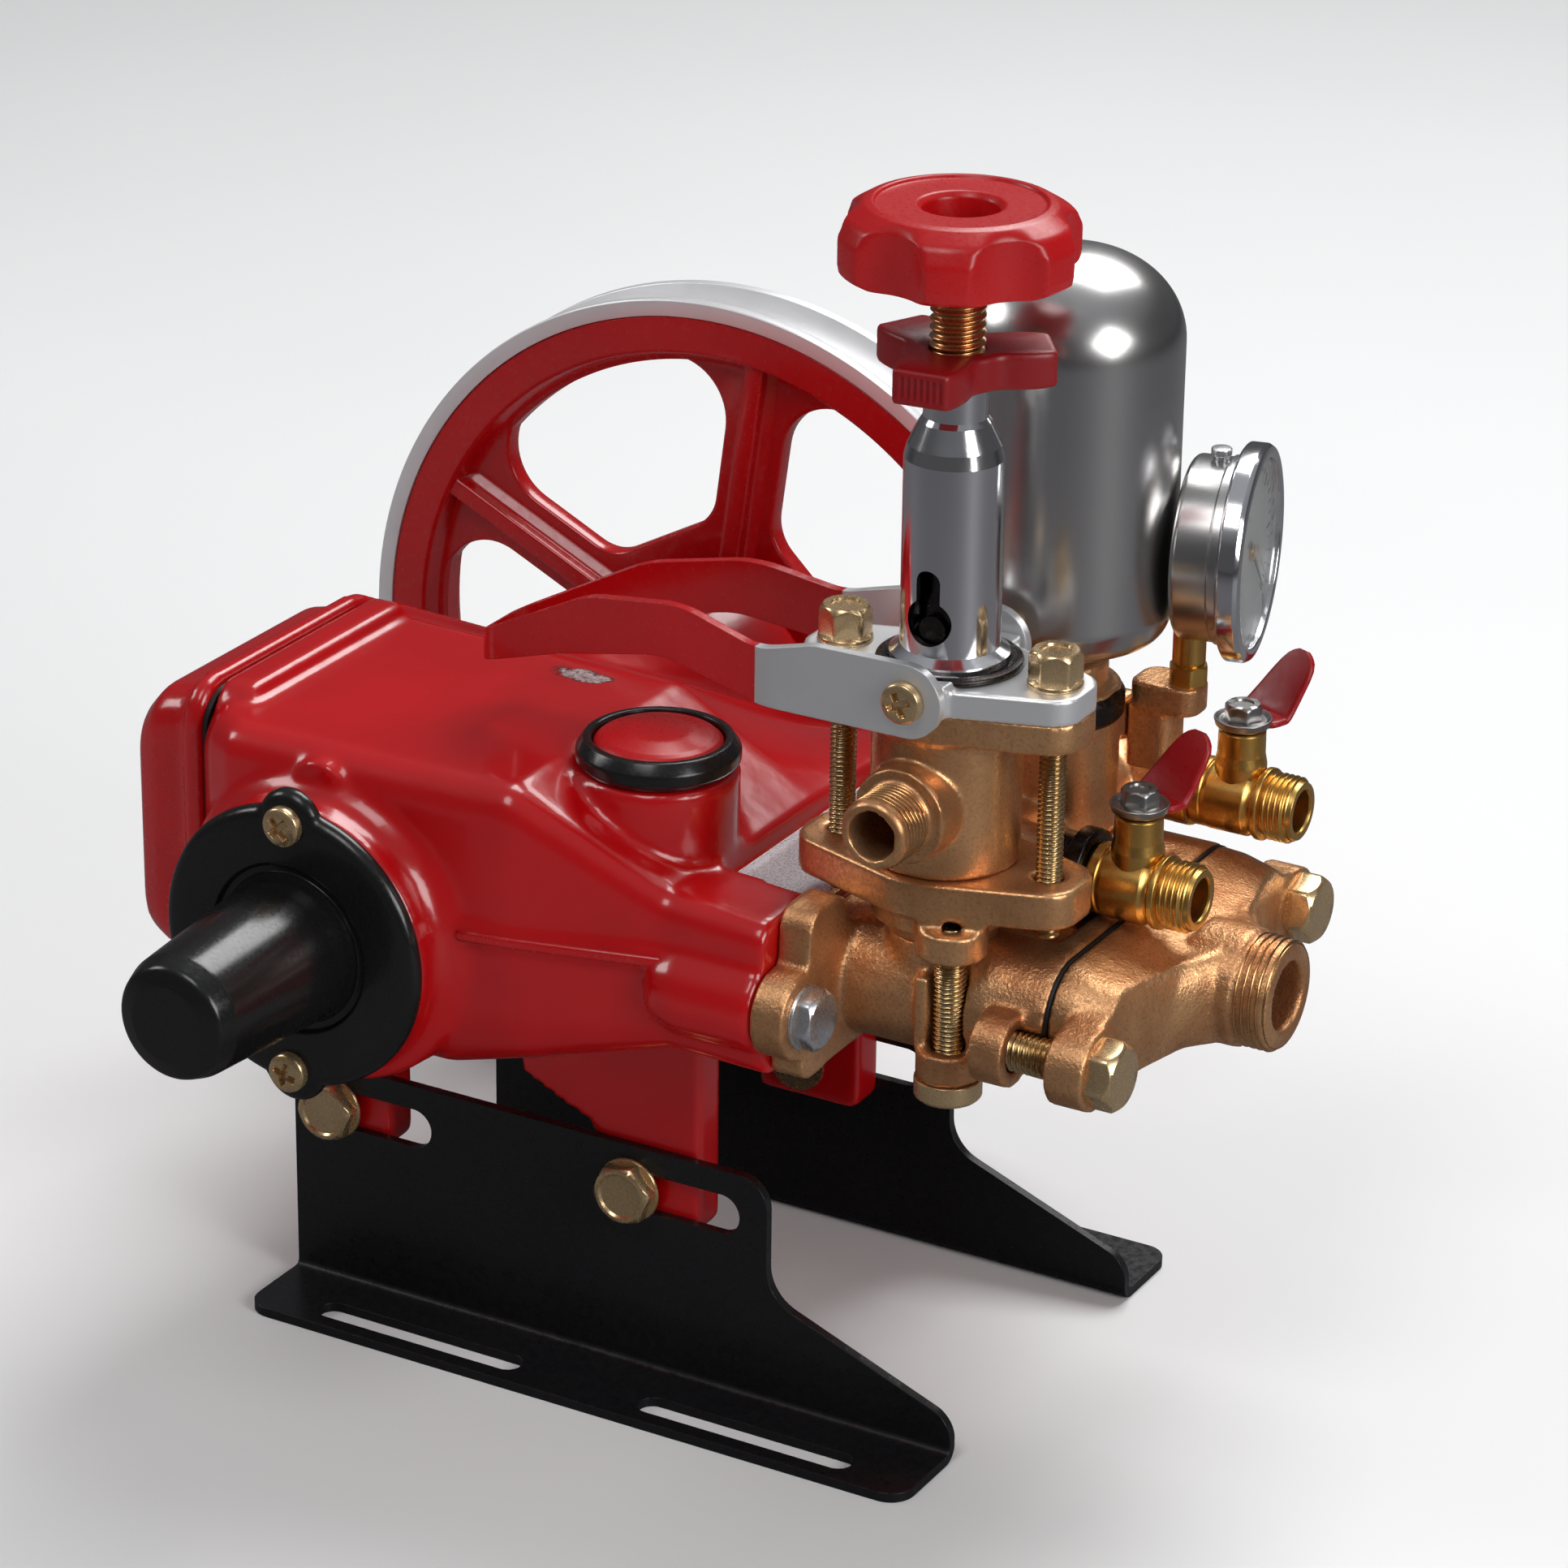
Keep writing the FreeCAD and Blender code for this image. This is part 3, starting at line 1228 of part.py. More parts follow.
def build_valve_lever(i):
    """Quarter-turn lever: flat plate round the stem, then a wide blade bent up to a narrow tip."""
    low = STEM_TOP_Z + 0.6
    thick = LEVER_SHEET
    reach = 2 * STEM_R - 3.6
    rise = 20.0
    lean = 11.5
    section = [
        (-9, low, 0),
        (reach, low, 3),
        (reach + lean, low + rise, 0),
        (reach + lean - 1.9, low + rise + 1.1, 0),
        (reach - 1.2, low + thick, 1),
        (-9, low + thick, 0),
    ]
    plan = [
        (-8.6, -8.2, 8),
        (reach, -7, 3),
        (reach + lean + 1, -8, 3.5),
        (reach + lean + 1, 2, 3.5),
        (reach + 1, 13, 3),
        (reach - 4, 11, 4),
        (-8.6, 8.2, 8),
    ]
    body = plate_xz(section, -20, 20).common(plate_xy(plan, low - 1, low + rise + 5))
    body = body.cut(cylinder(STEM_PIN_R + 0.2, 10, (0, 0, low - 3), Z_AXIS))
    x, y = stem_spot(i)
    body.Placement = Placement(Vector(x, y, 0), Rotation(Vector(0, 0, 1), LEVER_TURN[i]))
    return body


def build_valve_nut(i):
    """Small nut on a valve stem."""
    x, y = stem_spot(i)
    low = STEM_TOP_Z + 0.6 + LEVER_SHEET
    nut = hexagon(10.5, 5.5, (x, y, low), Z_AXIS, 1.0)
    pin = cylinder(STEM_PIN_R, 3, (x, y, STEM_TOP_Z + 0.6), Z_AXIS)
    return fuse(nut, pin)


def build_all():
    """Every node by name."""
    near, far = 0, 1
    bracket = build_bracket()
    bolts = build_bracket_bolts()
    return {
        "crankcase": build_crankcase(),
        "rear_cover": build_rear_cover(),
        "rear_gasket": build_rear_gasket(),
        "shaft_end_cover": build_shaft_end_cover(),
        "cover_screws": build_cover_screws(),
        "filler_ring": build_filler_ring(),
        "filler_cap": build_filler_cap(),
        "well_plate": build_well_plate(),
        "bracket_near": bracket,
        "bracket_far": mirrored(bracket),
        "bracket_bolts": bolts.fuse(mirrored(bolts)),
        "valve_block": build_valve_block(),
        "block_bolts": build_block_bolts(),
        "clamp_bolts": build_clamp_bolts(),
        "suction_gasket": build_suction_gasket(),
        "suction_cover": build_suction_cover(),
        "suction_bolts": build_suction_bolts(),
        "discharge_manifold": build_manifold(),
        "regulator_body": build_regulator_body(),
        "regulator_flange": build_regulator_flange(),
        "regulator_bolts": build_regulator_bolts(),
        "spring_housing": build_spring_housing(),
        "spring_stem": build_spring_stem(),
        "lever_pivots": build_lever_pivots(),
        "relief_lever_fork": build_lever_fork(),
        "relief_lever_handle": build_lever_handle(),
        "adjusting_knob": build_knob(),
        "adjusting_screw": build_adjusting_screw(),
        "lock_nut": build_lock_nut(),
        "air_chamber": build_air_chamber(),
        "gauge_block": build_gauge_block(),
        "gauge_stem": build_gauge_stem(),
        "gauge_case": build_gauge_case(),
        "gauge_bezel": build_gauge_bezel(),
        "gauge_dial": build_gauge_dial(),
        "collar_near": build_collar(near),
        "collar_far": build_collar(far),
        "outlet_valve_near": build_outlet_valve(near),
        "outlet_valve_far": build_outlet_valve(far),
        "valve_lever_near": build_valve_lever(near),
        "valve_lever_far": build_valve_lever(far),
        "valve_nut_near": build_valve_nut(near),
        "valve_nut_far": build_valve_nut(far),
        "pulley": build_pulley(),
        "crankshaft": build_crankshaft(),
    }


def main():
    """Write one file for each node."""
    os.makedirs("parts", exist_ok=True)
    for name, shape in build_all().items():
        shape.exportStep(os.path.join("parts", name + ".step"))


main()
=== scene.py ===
"""Looks of a three-cylinder plunger pump with its belt pulley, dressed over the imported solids.

Sizes are millimetres in the pump's own frame: +Z up, +X to the brass liquid end, the pulley on the
+Y side. Meshes are written in metres.
"""

import logging
import math
from dataclasses import dataclass, field
from enum import Enum
from typing import Sequence

import bmesh
import bpy
import numpy as np
from mathutils import Matrix

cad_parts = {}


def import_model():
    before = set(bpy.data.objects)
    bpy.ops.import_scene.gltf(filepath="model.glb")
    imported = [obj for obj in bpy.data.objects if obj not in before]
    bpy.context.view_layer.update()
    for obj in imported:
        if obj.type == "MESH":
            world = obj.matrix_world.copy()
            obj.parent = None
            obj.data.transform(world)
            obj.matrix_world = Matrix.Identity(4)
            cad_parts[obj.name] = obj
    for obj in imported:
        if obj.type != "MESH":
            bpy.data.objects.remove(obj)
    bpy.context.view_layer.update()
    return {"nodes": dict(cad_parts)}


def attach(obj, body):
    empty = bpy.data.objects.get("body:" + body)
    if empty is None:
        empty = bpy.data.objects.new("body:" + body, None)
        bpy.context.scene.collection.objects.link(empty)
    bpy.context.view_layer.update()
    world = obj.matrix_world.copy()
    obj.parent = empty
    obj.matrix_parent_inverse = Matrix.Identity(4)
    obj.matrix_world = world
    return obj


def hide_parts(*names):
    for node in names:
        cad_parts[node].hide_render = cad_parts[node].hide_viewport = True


LOG = logging.getLogger("pump")
MM = 0.001
TAU = 2 * math.pi
Array = np.ndarray
Point = tuple[float, float, float]
Colour = tuple[float, float, float]
Profile = Sequence[tuple[float, ...]]
Cast = tuple[float, int]
Socket = bpy.types.NodeSocket
Value = float | Sequence[float] | Socket

X_AXIS: Point = (1.0, 0.0, 0.0)
Y_AXIS: Point = (0.0, 1.0, 0.0)
Z_AXIS: Point = (0.0, 0.0, 1.0)
NEAR_AXIS: Point = (0.0, -1.0, 0.0)
DOWN_AXIS: Point = (0.0, 0.0, -1.0)
SIDES = (-1, 1)

# places that several groups share
SHAFT_X = -74.3
SHAFT_Z = 149.0
REGULATOR = (102.5, -45.0)
CHAMBER = (104.0, 22.0)

# pitches of the pipe threads G1 and G1/2
PITCH_G1 = 2.31
PITCH_G_HALF = 1.81


class Body(Enum):
    """Bodies that a piece can ride on."""

    PUMP = "pump"
    PULLEY = "pulley"
    RELIEF_LEVER = "relief_lever"
    KNOB = "knob"
    LOCK_NUT = "lock_nut"
    VALVE_LEVER_NEAR = "outlet_lever_near"
    VALVE_LEVER_FAR = "outlet_lever_far"


class Slot(Enum):
    """Finishes of the record."""

    RED_ENAMEL = "red_enamel"
    BLACK_PAINT = "black_paint"
    CAST_BRASS = "cast_brass"
    SMOOTH_BRASS = "smooth_brass"
    CHROME = "chrome"
    STAINLESS = "stainless"
    BRIGHT_ZINC = "bright_zinc"
    YELLOW_ZINC = "yellow_zinc"
    DARK_STEEL = "dark_steel"
    BLACK_RUBBER = "black_rubber"
    BLACK_PLASTIC = "black_plastic"
    RED_PLASTIC = "red_plastic"
    DIAL = "dial"


# materials whose name isn't that of their slot
VARIANTS = {
    "red_enamel_plain": Slot.RED_ENAMEL,
    "thread_brass": Slot.SMOOTH_BRASS,
    "thread_zinc": Slot.YELLOW_ZINC,
    "grey_steel": Slot.BRIGHT_ZINC,
    "machined_rim": Slot.STAINLESS,
    "dark_red_plastic": Slot.RED_PLASTIC,
    "red_dip": Slot.RED_PLASTIC,
    "dial_marks": Slot.DIAL,
    "window": Slot.DIAL,
}


# surfaces


@dataclass
class Patch:
    """Grid of points that becomes quads.

    Args:
        points: array of rows by columns by 3, in millimetres.
        close_rows: the last row joins the first.
        close_cols: the last column joins the first.
    """

    points: Array
    close_rows: bool = False
    close_cols: bool = False

    def faces(self, offset: int) -> Array:
        """Corner numbers of every quad, counted from offset."""
        rows, cols = self.points.shape[:2]
        i = np.arange(rows if self.close_rows else rows - 1)
        j = np.arange(cols if self.close_cols else cols - 1)
        a, b = np.meshgrid(i, j, indexing="ij")
        c, d = (a + 1) % rows, (b + 1) % cols
        quads = np.stack([a * cols + b, a * cols + d, c * cols + d, c * cols + b], axis=-1)
        return quads.reshape(-1, 4) + offset


def unit(v: Sequence[float]) -> Array:
    """Vector of length one in the direction of v."""
    a = np.asarray(v, float)
    return a / np.linalg.norm(a)


def frame_of(axis: Sequence[float]) -> tuple[Array, Array, Array]:
    """Three directions square to each other, the last along axis."""
    w = unit(axis)
    helper = np.array(X_AXIS if abs(w[0]) < 0.9 else Y_AXIS)
    u = unit(np.cross(helper, w))
    return u, np.cross(w, u), w


def moved(base: Point, axis: Point, distance: float) -> Point:
    """Point at a distance from base along an axis of length one."""
    return tuple(b + distance * a for a, b in zip(axis, base))


def full_turn(count: int) -> Array:
    """Row of evenly spaced angles over one turn."""
    return np.linspace(0, TAU, count, endpoint=False)[None]


def around(base: Point, axis: Sequence[float], r: Array, s: Array, t: Array) -> Array:
    """Points base + s axis + r (cos t u + sin t v); radius, distance and angle broadcast."""
    u, v, w = frame_of(axis)
    flat = (r * np.cos(t))[..., None] * u + (r * np.sin(t))[..., None] * v
    return np.asarray(base) + s[..., None] * w + flat


def turned_by(angle: float, u: Array, v: Array) -> tuple[Array, Array]:
    """Plane coordinates turned by an angle in degrees."""
    c, s = math.cos(math.radians(angle)), math.sin(math.radians(angle))
    return u * c - v * s, u * s + v * c


def smooth(t: Array) -> Array:
    """Soft step from 0 to 1: three t squared less two t cubed, held flat outside."""
    t = np.clip(t, 0.0, 1.0)
    return t * t * (3.0 - 2.0 * t)


def soft_min(a: Array, b: Array, k: float) -> Array:
    """Smaller of two values with the corner between them rounded over about k."""
    h = np.clip(0.5 + 0.5 * (b - a) / k, 0.0, 1.0)
    return b * (1 - h) + a * h - k * h * (1 - h)


def soft_max(a: Array, b: Array, k: float) -> Array:
    """Larger of two values with the corner between them rounded over about k."""
    return -soft_min(-a, -b, k)


def rounded(corners: Profile, steps: int = 5, closed: bool = False) -> Array:
    """Polyline with its corners rounded by circular arcs.

    Each corner with a third number r is replaced by the arc of radius r that touches both sides,
    cut down where a side is too short.

    Args:
        corners: (u, v) or (u, v, radius) for each corner.
        steps: points on each arc, less one.
        closed: whether the line closes on itself.

    Returns:
        Array of points by 2.
    """
    spots = np.array([c[:2] for c in corners], float)
    radii = [c[2] if len(c) > 2 else 0.0 for c in corners]
    count = len(spots)
    out: list[Array] = []
    for i, here in enumerate(spots):
        if radii[i] <= 0 or (not closed and i in (0, count - 1)):
            out.append(here[None])
            continue
        a, b = spots[i - 1] - here, spots[(i + 1) % count] - here
        la, lb = np.linalg.norm(a), np.linalg.norm(b)
        a, b = a / la, b / lb
        half = math.acos(float(np.clip(a @ b, -1, 1))) / 2
        folded, straight = 0.02, math.pi / 2 - 0.01
        if not folded <= half <= straight:
            out.append(here[None])
            continue
        reach = min(radii[i] / math.tan(half), 0.49 * la, 0.49 * lb)
        centre = here + unit(a + b) * (reach / math.cos(half))
        p, q = here + a * reach - centre, here + b * reach - centre
        sweep = math.pi - 2 * half
        ang = np.linspace(0, sweep, steps + 1)[:, None]
        out.append(centre + (np.sin(sweep - ang) * p + np.sin(ang) * q) / math.sin(sweep))
    return np.concatenate(out)


def turned(profile: Profile | Array, base: Point, axis: Point, count: int = 96, steps: int = 5,
           loop: bool = False) -> Patch:
    """Surface of revolution.

    Args:
        profile: (radius, distance[, rounding]) corners, or an array of points.
        base: where the axis starts.
        axis: direction of the axis.
        count: points round the axis.
        steps: points on each rounded corner.
        loop: whether the profile closes on itself, as that of a ring does.

    Returns:
        Patch with its columns closed.
    """
    line = profile if isinstance(profile, np.ndarray) else rounded(profile, steps, loop)
    points = around(base, axis, line[:, :1], line[:, 1:2], full_turn(count))
    return Patch(points, close_rows=loop, close_cols=True)


def barrel(radius: float, length: float, base: Point, axis: Point, count: int) -> Patch:
    """Plain closed cylinder."""
    return turned([(0, 0), (radius, 0), (radius, length), (0, length)], base, axis, count)


def thread(radius: float, pitch: float, depth: float, length: float, base: Point, axis: Point,
           count: int, per_turn: int) -> Patch:
    """Screw thread as a surface.

    The radius falls from the crest by depth times a rounded wave of (distance / pitch - angle /
    turn), and the wave fades out over half a pitch at both ends.

    Args:
        radius: crest radius.
        pitch: distance between crests.
        depth: height of the thread.
        length: threaded length.
        base: start of the axis.
        axis: direction of the axis.
        count: points round the axis.
        per_turn: rows for each pitch.

    Returns:
        Patch with its columns closed, open at its ends.
    """
    s = np.linspace(0, length, max(int(length / pitch * per_turn), 4))[:, None]
    t = full_turn(count)
    wave = 0.5 - 0.5 * np.cos(TAU * (s / pitch) - t)
    fade = smooth(s / (0.6 * pitch)) * smooth((length - s) / (0.6 * pitch))
    r = radius - depth * (1 - fade * (1 - wave ** 0.8))
    return Patch(around(base, axis, r, s, t), close_cols=True)


def threaded_rod(radius: float, pitch: float, depth: float, root: float, length: float, base: Point,
                 axis: Point, count: int, per_turn: int) -> list[Patch]:
    """Thread with a flat disc of radius root at each end; the other arguments are those of thread."""
    return [turned([(0, 0), (root, 0)], base, axis, count),
            thread(radius, pitch, depth, length, base, axis, count, per_turn),
            turned([(root, length), (0, length)], base, axis, count)]


def hex_bar(flats: float, height: float, base: Point, axis: Point, chamfer: float = 1.5,
            turn: float = 0.0, hollow: float = 0.0) -> Patch:
    """Hexagon head: its side is the hexagon's radius, its top edge the lower of the top and a cone.

    Args:
        flats: width across flats.
        height: height of the head.
        base: centre of its seat.
        axis: direction out of the seat.
        chamfer: drop of the cone at the corners.
        turn: turn of the hexagon about its axis in degrees.
        hollow: radius of a shallow dish in the top.

    Returns:
        Closed patch.
    """
    t = full_turn(72)[0]
    apo, tip = flats / 2, flats / math.sqrt(3)
    blunt = tip * 0.985 + 0 * t
    side = soft_min(apo / np.cos((t + math.pi / 6) % (math.pi / 3) - math.pi / 6), blunt, 0.5)
    edge = height - np.maximum(side - apo * 0.97, 0.0) / (tip - apo) * chamfer
    top_r, dish = apo * 0.93, 0.7
    rings = [(0, 0), (side * 0.99, 0), (side, 0.3), (side, edge - 0.25), (side * 0.99, edge)]
    rings += [(top_r, height)]
    if hollow > 0:
        rings += [(hollow, height), (hollow * 0.92, height - dish), (0, height - dish)]
    else:
        rings += [(top_r * 0.5, height), (0, height)]
    r, z = (np.stack([ring[k] + 0 * t for ring in rings]) for k in (0, 1))
    return Patch(around(base, axis, r, z, t + math.radians(turn)), close_cols=True)


def cross_head(radius: float, height: float, base: Point, axis: Point, turn: float) -> Patch:
    """Pan head with a cross recess.

    Height over the seat is a flattened dome less a cross-shaped pit: the pit holds where the smaller
    of the two distances to the cross's arms is under half the slot and the point is within its reach.

    Args:
        radius: head radius.
        height: head height.
        base: centre of the seat.
        axis: direction out of the seat.
        turn: turn of the cross in degrees.

    Returns:
        Closed patch.
    """
    t = full_turn(96)
    rho = np.concatenate([np.linspace(0, 0.8, 30), np.linspace(0.83, 1.0, 7)])[::-1, None] * radius
    dome = height * (0.55 + 0.45 * np.sqrt(np.clip(1 - (rho / radius) ** 2.6, 0, 1)))
    x, y = np.abs(rho * np.cos(t)), np.abs(rho * np.sin(t))
    slot = smooth((0.19 * radius - np.minimum(x, y)) / (0.07 * radius))
    reach = smooth((0.62 * radius - np.maximum(x, y)) / (0.08 * radius))
    low = 0 * t
    z = np.concatenate([low, low, dome - 0.55 * height * slot * reach])
    r = np.concatenate([low, low + radius, rho + low])
    return Patch(around(base, axis, r, z, t + math.radians(turn)), close_cols=True)


# meshes


def make_mesh(name: str, patches: Sequence[Patch], sharp: float = 38.0,
              closed: bool = True) -> bpy.types.Object:
    """Puts patches into one mesh object at the origin.

    Args:
        name: object name.
        patches: surfaces in millimetres.
        sharp: edges over this angle in degrees stay sharp.
        closed: whether the shells are closed, so that their faces are turned outwards.

    Returns:
        Object linked to the scene.
    """
    verts = np.concatenate([p.points.reshape(-1, 3) for p in patches]) * MM
    offsets = np.cumsum([0] + [p.points.shape[0] * p.points.shape[1] for p in patches])
    quads = np.concatenate([p.faces(int(o)) for p, o in zip(patches, offsets)])
    mesh = bpy.data.meshes.new(name)
    mesh.from_pydata(verts.tolist(), [], quads.tolist())
    work = bmesh.new()
    work.from_mesh(mesh)
    bmesh.ops.remove_doubles(work, verts=work.verts, dist=2e-6)
    bmesh.ops.dissolve_degenerate(work, edges=work.edges, dist=1e-6)
    if closed:
        bmesh.ops.recalc_face_normals(work, faces=work.faces)
    work.to_mesh(mesh)
    work.free()
    mesh.polygons.foreach_set("use_smooth", np.ones(len(mesh.polygons), bool))
    mesh.set_sharp_from_angle(angle=math.radians(sharp))
    mesh.update()
    obj = bpy.data.objects.new(name, mesh)
    bpy.context.scene.collection.objects.link(obj)
    return obj


def add_cast(obj: bpy.types.Object, voxel: float, passes: int) -> None:
    """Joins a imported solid's loose triangles and gives it the soft corners of a casting.

    Args:
        obj: mesh object of closed shells.
        voxel: grain of the new mesh in millimetres.
        passes: smoothing passes.
    """
    weld = obj.modifiers.new("join", "WELD")
    weld.merge_threshold = 0.02 * MM
    remesh = obj.modifiers.new("cast", "REMESH")
    remesh.mode = "VOXEL"
    remesh.voxel_size = voxel * MM
    remesh.use_smooth_shade = True
    relax = obj.modifiers.new("soften", "SMOOTH")
    relax.factor = 0.5
    relax.iterations = passes


# finishes


class Graph:
    """Node tree that is emptied and then filled node by node."""

    def __init__(self, tree: bpy.types.NodeTree) -> None:
        """Empties the tree of a material or a world."""
        self.tree = tree
        self.tree.nodes.clear()

    def fill(self, socket: Socket, value: Value) -> None:
        """Links a socket where the value is a socket itself, and sets it otherwise."""
        if isinstance(value, bpy.types.NodeSocket):
            self.tree.links.new(value, socket)
        elif socket.type == "RGBA":
            socket.default_value = (*value[:3], 1.0)
        else:
            socket.default_value = value

    def add(self, kind: str, inputs: dict[str | int, Value] | None = None,
            **values: object) -> bpy.types.Node:
        """New node with its properties and inputs set."""
        node = self.tree.nodes.new(kind)
        for key, value in values.items():
            setattr(node, key, value)
        for key, value in (inputs or {}).items():
            self.fill(node.inputs[key], value)
        return node

    def ramp(self, source: Socket, stops: Sequence[tuple[float, Colour]]) -> Socket:
        """Colour ramp with (place, colour) stops."""
        node = self.add("ShaderNodeValToRGB", {"Fac": source})
        elements = node.color_ramp.elements
        while len(elements) < len(stops):
            elements.new(0.5)
        for element, (place, colour) in zip(elements, stops):
            element.position = place
            element.color = (*colour, 1.0)
        return node.outputs["Color"]


class Shader(Graph):
    """Material with one principled shader and the nodes that feed it."""

    def __init__(self, name: str, edge: float = 0.5) -> None:
        """Starts a material.

        Args:
            name: material name.
            edge: radius in millimetres over which hard edges shade round.
        """
        self.edge = edge
        self.material = bpy.data.materials.new(name)
        self.material.use_nodes = True
        super().__init__(self.material.node_tree)
        self.shader = self.add("ShaderNodeBsdfPrincipled")
        self.add("ShaderNodeOutputMaterial", {"Surface": self.shader.outputs["BSDF"]})
        self.where = self.add("ShaderNodeTexCoord").outputs["Object"]

    def mapped(self, scale: Point, location: Point = (0, 0, 0)) -> Socket:
        """Object coordinates scaled and moved."""
        inputs = {"Scale": scale, "Location": location, "Vector": self.where}
        return self.add("ShaderNodeMapping", inputs).outputs["Vector"]

    def noise(self, scale: float, detail: float = 3.0, rough: float = 0.5,
              stretch: Point = (1, 1, 1)) -> Socket:
        """Noise value between 0 and 1; scale is in waves for each metre."""
        inputs = {"Scale": scale, "Detail": detail, "Roughness": rough, "Vector": self.mapped(stretch)}
        return self.add("ShaderNodeTexNoise", inputs).outputs["Fac"]

    def spread(self, source: Socket, low: float, high: float, start: float = 0.0,
               stop: float = 1.0) -> Socket:
        """Value moved from the range start to stop into low to high, and held there."""
        inputs = {"Value": source, "From Min": start, "From Max": stop, "To Min": low, "To Max": high}
        return self.add("ShaderNodeMapRange", inputs).outputs["Result"]

    def step(self, source: Socket, start: float, stop: float) -> Socket:
        """Value that rises from 0 at start to 1 at stop."""
        return self.spread(source, 0.0, 1.0, start, stop)

    def mixed(self, factor: Socket, a: Colour | Socket, b: Colour | Socket) -> Socket:
        """Colour between a and b by factor."""
        node = self.add("ShaderNodeMix", data_type="RGBA")
        for key, value in (("Factor", factor), (6, a), (7, b)):
            self.fill(node.inputs[key], value)
        return node.outputs[2]

    def bump(self, *heights: tuple[Socket, float]) -> None:
        """Bump from heights; each comes with its depth in millimetres."""
        last = None
        if self.edge > 0:
            last = self.add("ShaderNodeBevel", {"Radius": self.edge * MM}, samples=4).outputs["Normal"]
        for source, depth in heights:
            inputs = {"Strength": 1.0, "Distance": depth * MM, "Height": source}
            if last is not None:
                inputs["Normal"] = last
            last = self.add("ShaderNodeBump", inputs).outputs["Normal"]
        self.set(Normal=last)

    def set(self, **values: Value) -> None:
        """Sets or links sockets of the shader; underscores stand for spaces."""
        for key, value in values.items():
            self.fill(self.shader.inputs[key.replace("_", " ")], value)


@dataclass(frozen=True)
class Enamel:
    """Glossy enamel over a casting: slow waves, dust pits and a chip down to mottled primer."""

    name: str
    colour: Colour
    deep: Colour
    rough: float = 0.22
    coat: float = 0.35
    wave: float = 0.35
    chip: Point | None = None
    chip_waves: Point = (52.0, 120.0, 90.0)
    chip_edge: Colour = (0.10, 0.004, 0.006)
    primer: tuple[Colour, Colour] = ((0.40, 0.33, 0.33), (0.14, 0.05, 0.05))

    def ragged(self, g: Shader) -> Socket:
        """Round fall-off about the chip's middle, torn by noise."""
        place = tuple(-c * MM * s for c, s in zip(self.chip, self.chip_waves))
        inputs = {"Vector": g.mapped(self.chip_waves, place)}
        ball = g.add("ShaderNodeTexGradient", inputs, gradient_type="SPHERICAL").outputs["Fac"]
        inputs = {0: g.noise(230.0, 5.0, 0.7), 1: ball}
        return g.add("ShaderNodeMath", inputs, operation="MULTIPLY").outputs[0]

    def build(self) -> bpy.types.Material:
        """Material of this finish."""
        g = Shader(self.name)
        pits = g.noise(420.0, 2.0, 0.6)
        colour = g.mixed(g.step(g.noise(18.0, 2.0), 0.3, 0.7), self.deep, self.colour)
        if self.chip is None:
            rough = g.spread(pits, self.rough * 0.8, self.rough * 1.3, 0.35, 0.65)
        else:
            ragged = self.ragged(g)
            worn = g.step(ragged, 0.27, 0.31)
            primer = g.mixed(g.step(g.noise(700.0, 4.0, 0.7), 0.4, 0.6), *self.primer)
            colour = g.mixed(g.step(ragged, 0.22, 0.27), colour, self.chip_edge)
            colour = g.mixed(worn, colour, primer)
            rough = g.spread(worn, self.rough, 0.6)
        g.set(Base_Color=colour, Roughness=rough, Coat_Weight=self.coat, Coat_Roughness=0.06, IOR=1.5)
        g.bump((g.noise(55.0, 2.0), self.wave), (pits, 0.03))
        return g.material


@dataclass(frozen=True)
class CastMetal:
    """Bare metal as cast: sandy grain, brown in its hollows and bright on its high spots."""

    name: str
    bright: Colour
    brown: Colour
    rough: tuple[float, float]
    grain: float = 0.28

    def build(self) -> bpy.types.Material:
        """Material of this finish."""
        g = Shader(self.name)
        sand = g.noise(900.0, 3.0, 0.65)
        colour = g.ramp(g.noise(35.0, 4.0, 0.6), ((0.3, self.brown), (0.62, self.bright)))
        dark = tuple(c * 0.55 for c in self.brown)
        colour = g.mixed(g.spread(sand, 0.5, 0.0, 0.3, 0.52), colour, dark)
        rough = g.spread(sand, self.rough[1], self.rough[0], 0.35, 0.65)
        g.set(Base_Color=colour, Metallic=0.86, Roughness=rough)
        g.bump((g.noise(160.0, 3.0), self.grain * 1.4), (sand, self.grain))
        return g.material


@dataclass(frozen=True)
class Metal:
    """Worked metal: turned, brushed or plated.

    stretch gives the direction of the fine marks: a small number runs them long in that axis.
    """

    name: str
    colour: Colour
    second: Colour
    rough: tuple[float, float]
    marks: float
    depth: float
    stretch: Point = (1.0, 1.0, 1.0)
    cloud: float = 40.0
    edge: float = 0.0
    metallic: float = 1.0

    def build(self) -> bpy.types.Material:
        """Material of this finish."""
        g = Shader(self.name, self.edge)
        fine = g.noise(self.marks, 3.0, 0.6, self.stretch)
        colour = g.mixed(g.step(g.noise(self.cloud, 3.0), 0.35, 0.65), self.colour, self.second)
        g.set(Base_Color=colour, Metallic=self.metallic, Roughness=g.spread(fine, *self.rough, 0.3, 0.7))
        g.bump((fine, self.depth))
        return g.material


@dataclass(frozen=True)
class Moulded:
    """Moulded plastic or rubber with a faint grain."""

    name: str
    colour: Colour
    rough: tuple[float, float]
    grain: float = 0.02
    scale: float = 900.0

    def build(self) -> bpy.types.Material:
        """Material of this finish."""
        g = Shader(self.name)
        fine = g.noise(self.scale, 2.0)
        low = tuple(c * 0.8 for c in self.colour)
        g.set(Base_Color=g.mixed(g.noise(30.0, 2.0), low, self.colour), IOR=1.48,
              Roughness=g.spread(fine, *self.rough, 0.3, 0.7))
        g.bump((fine, self.grain), (g.noise(60.0, 1.0), self.grain * 3))
        return g.material


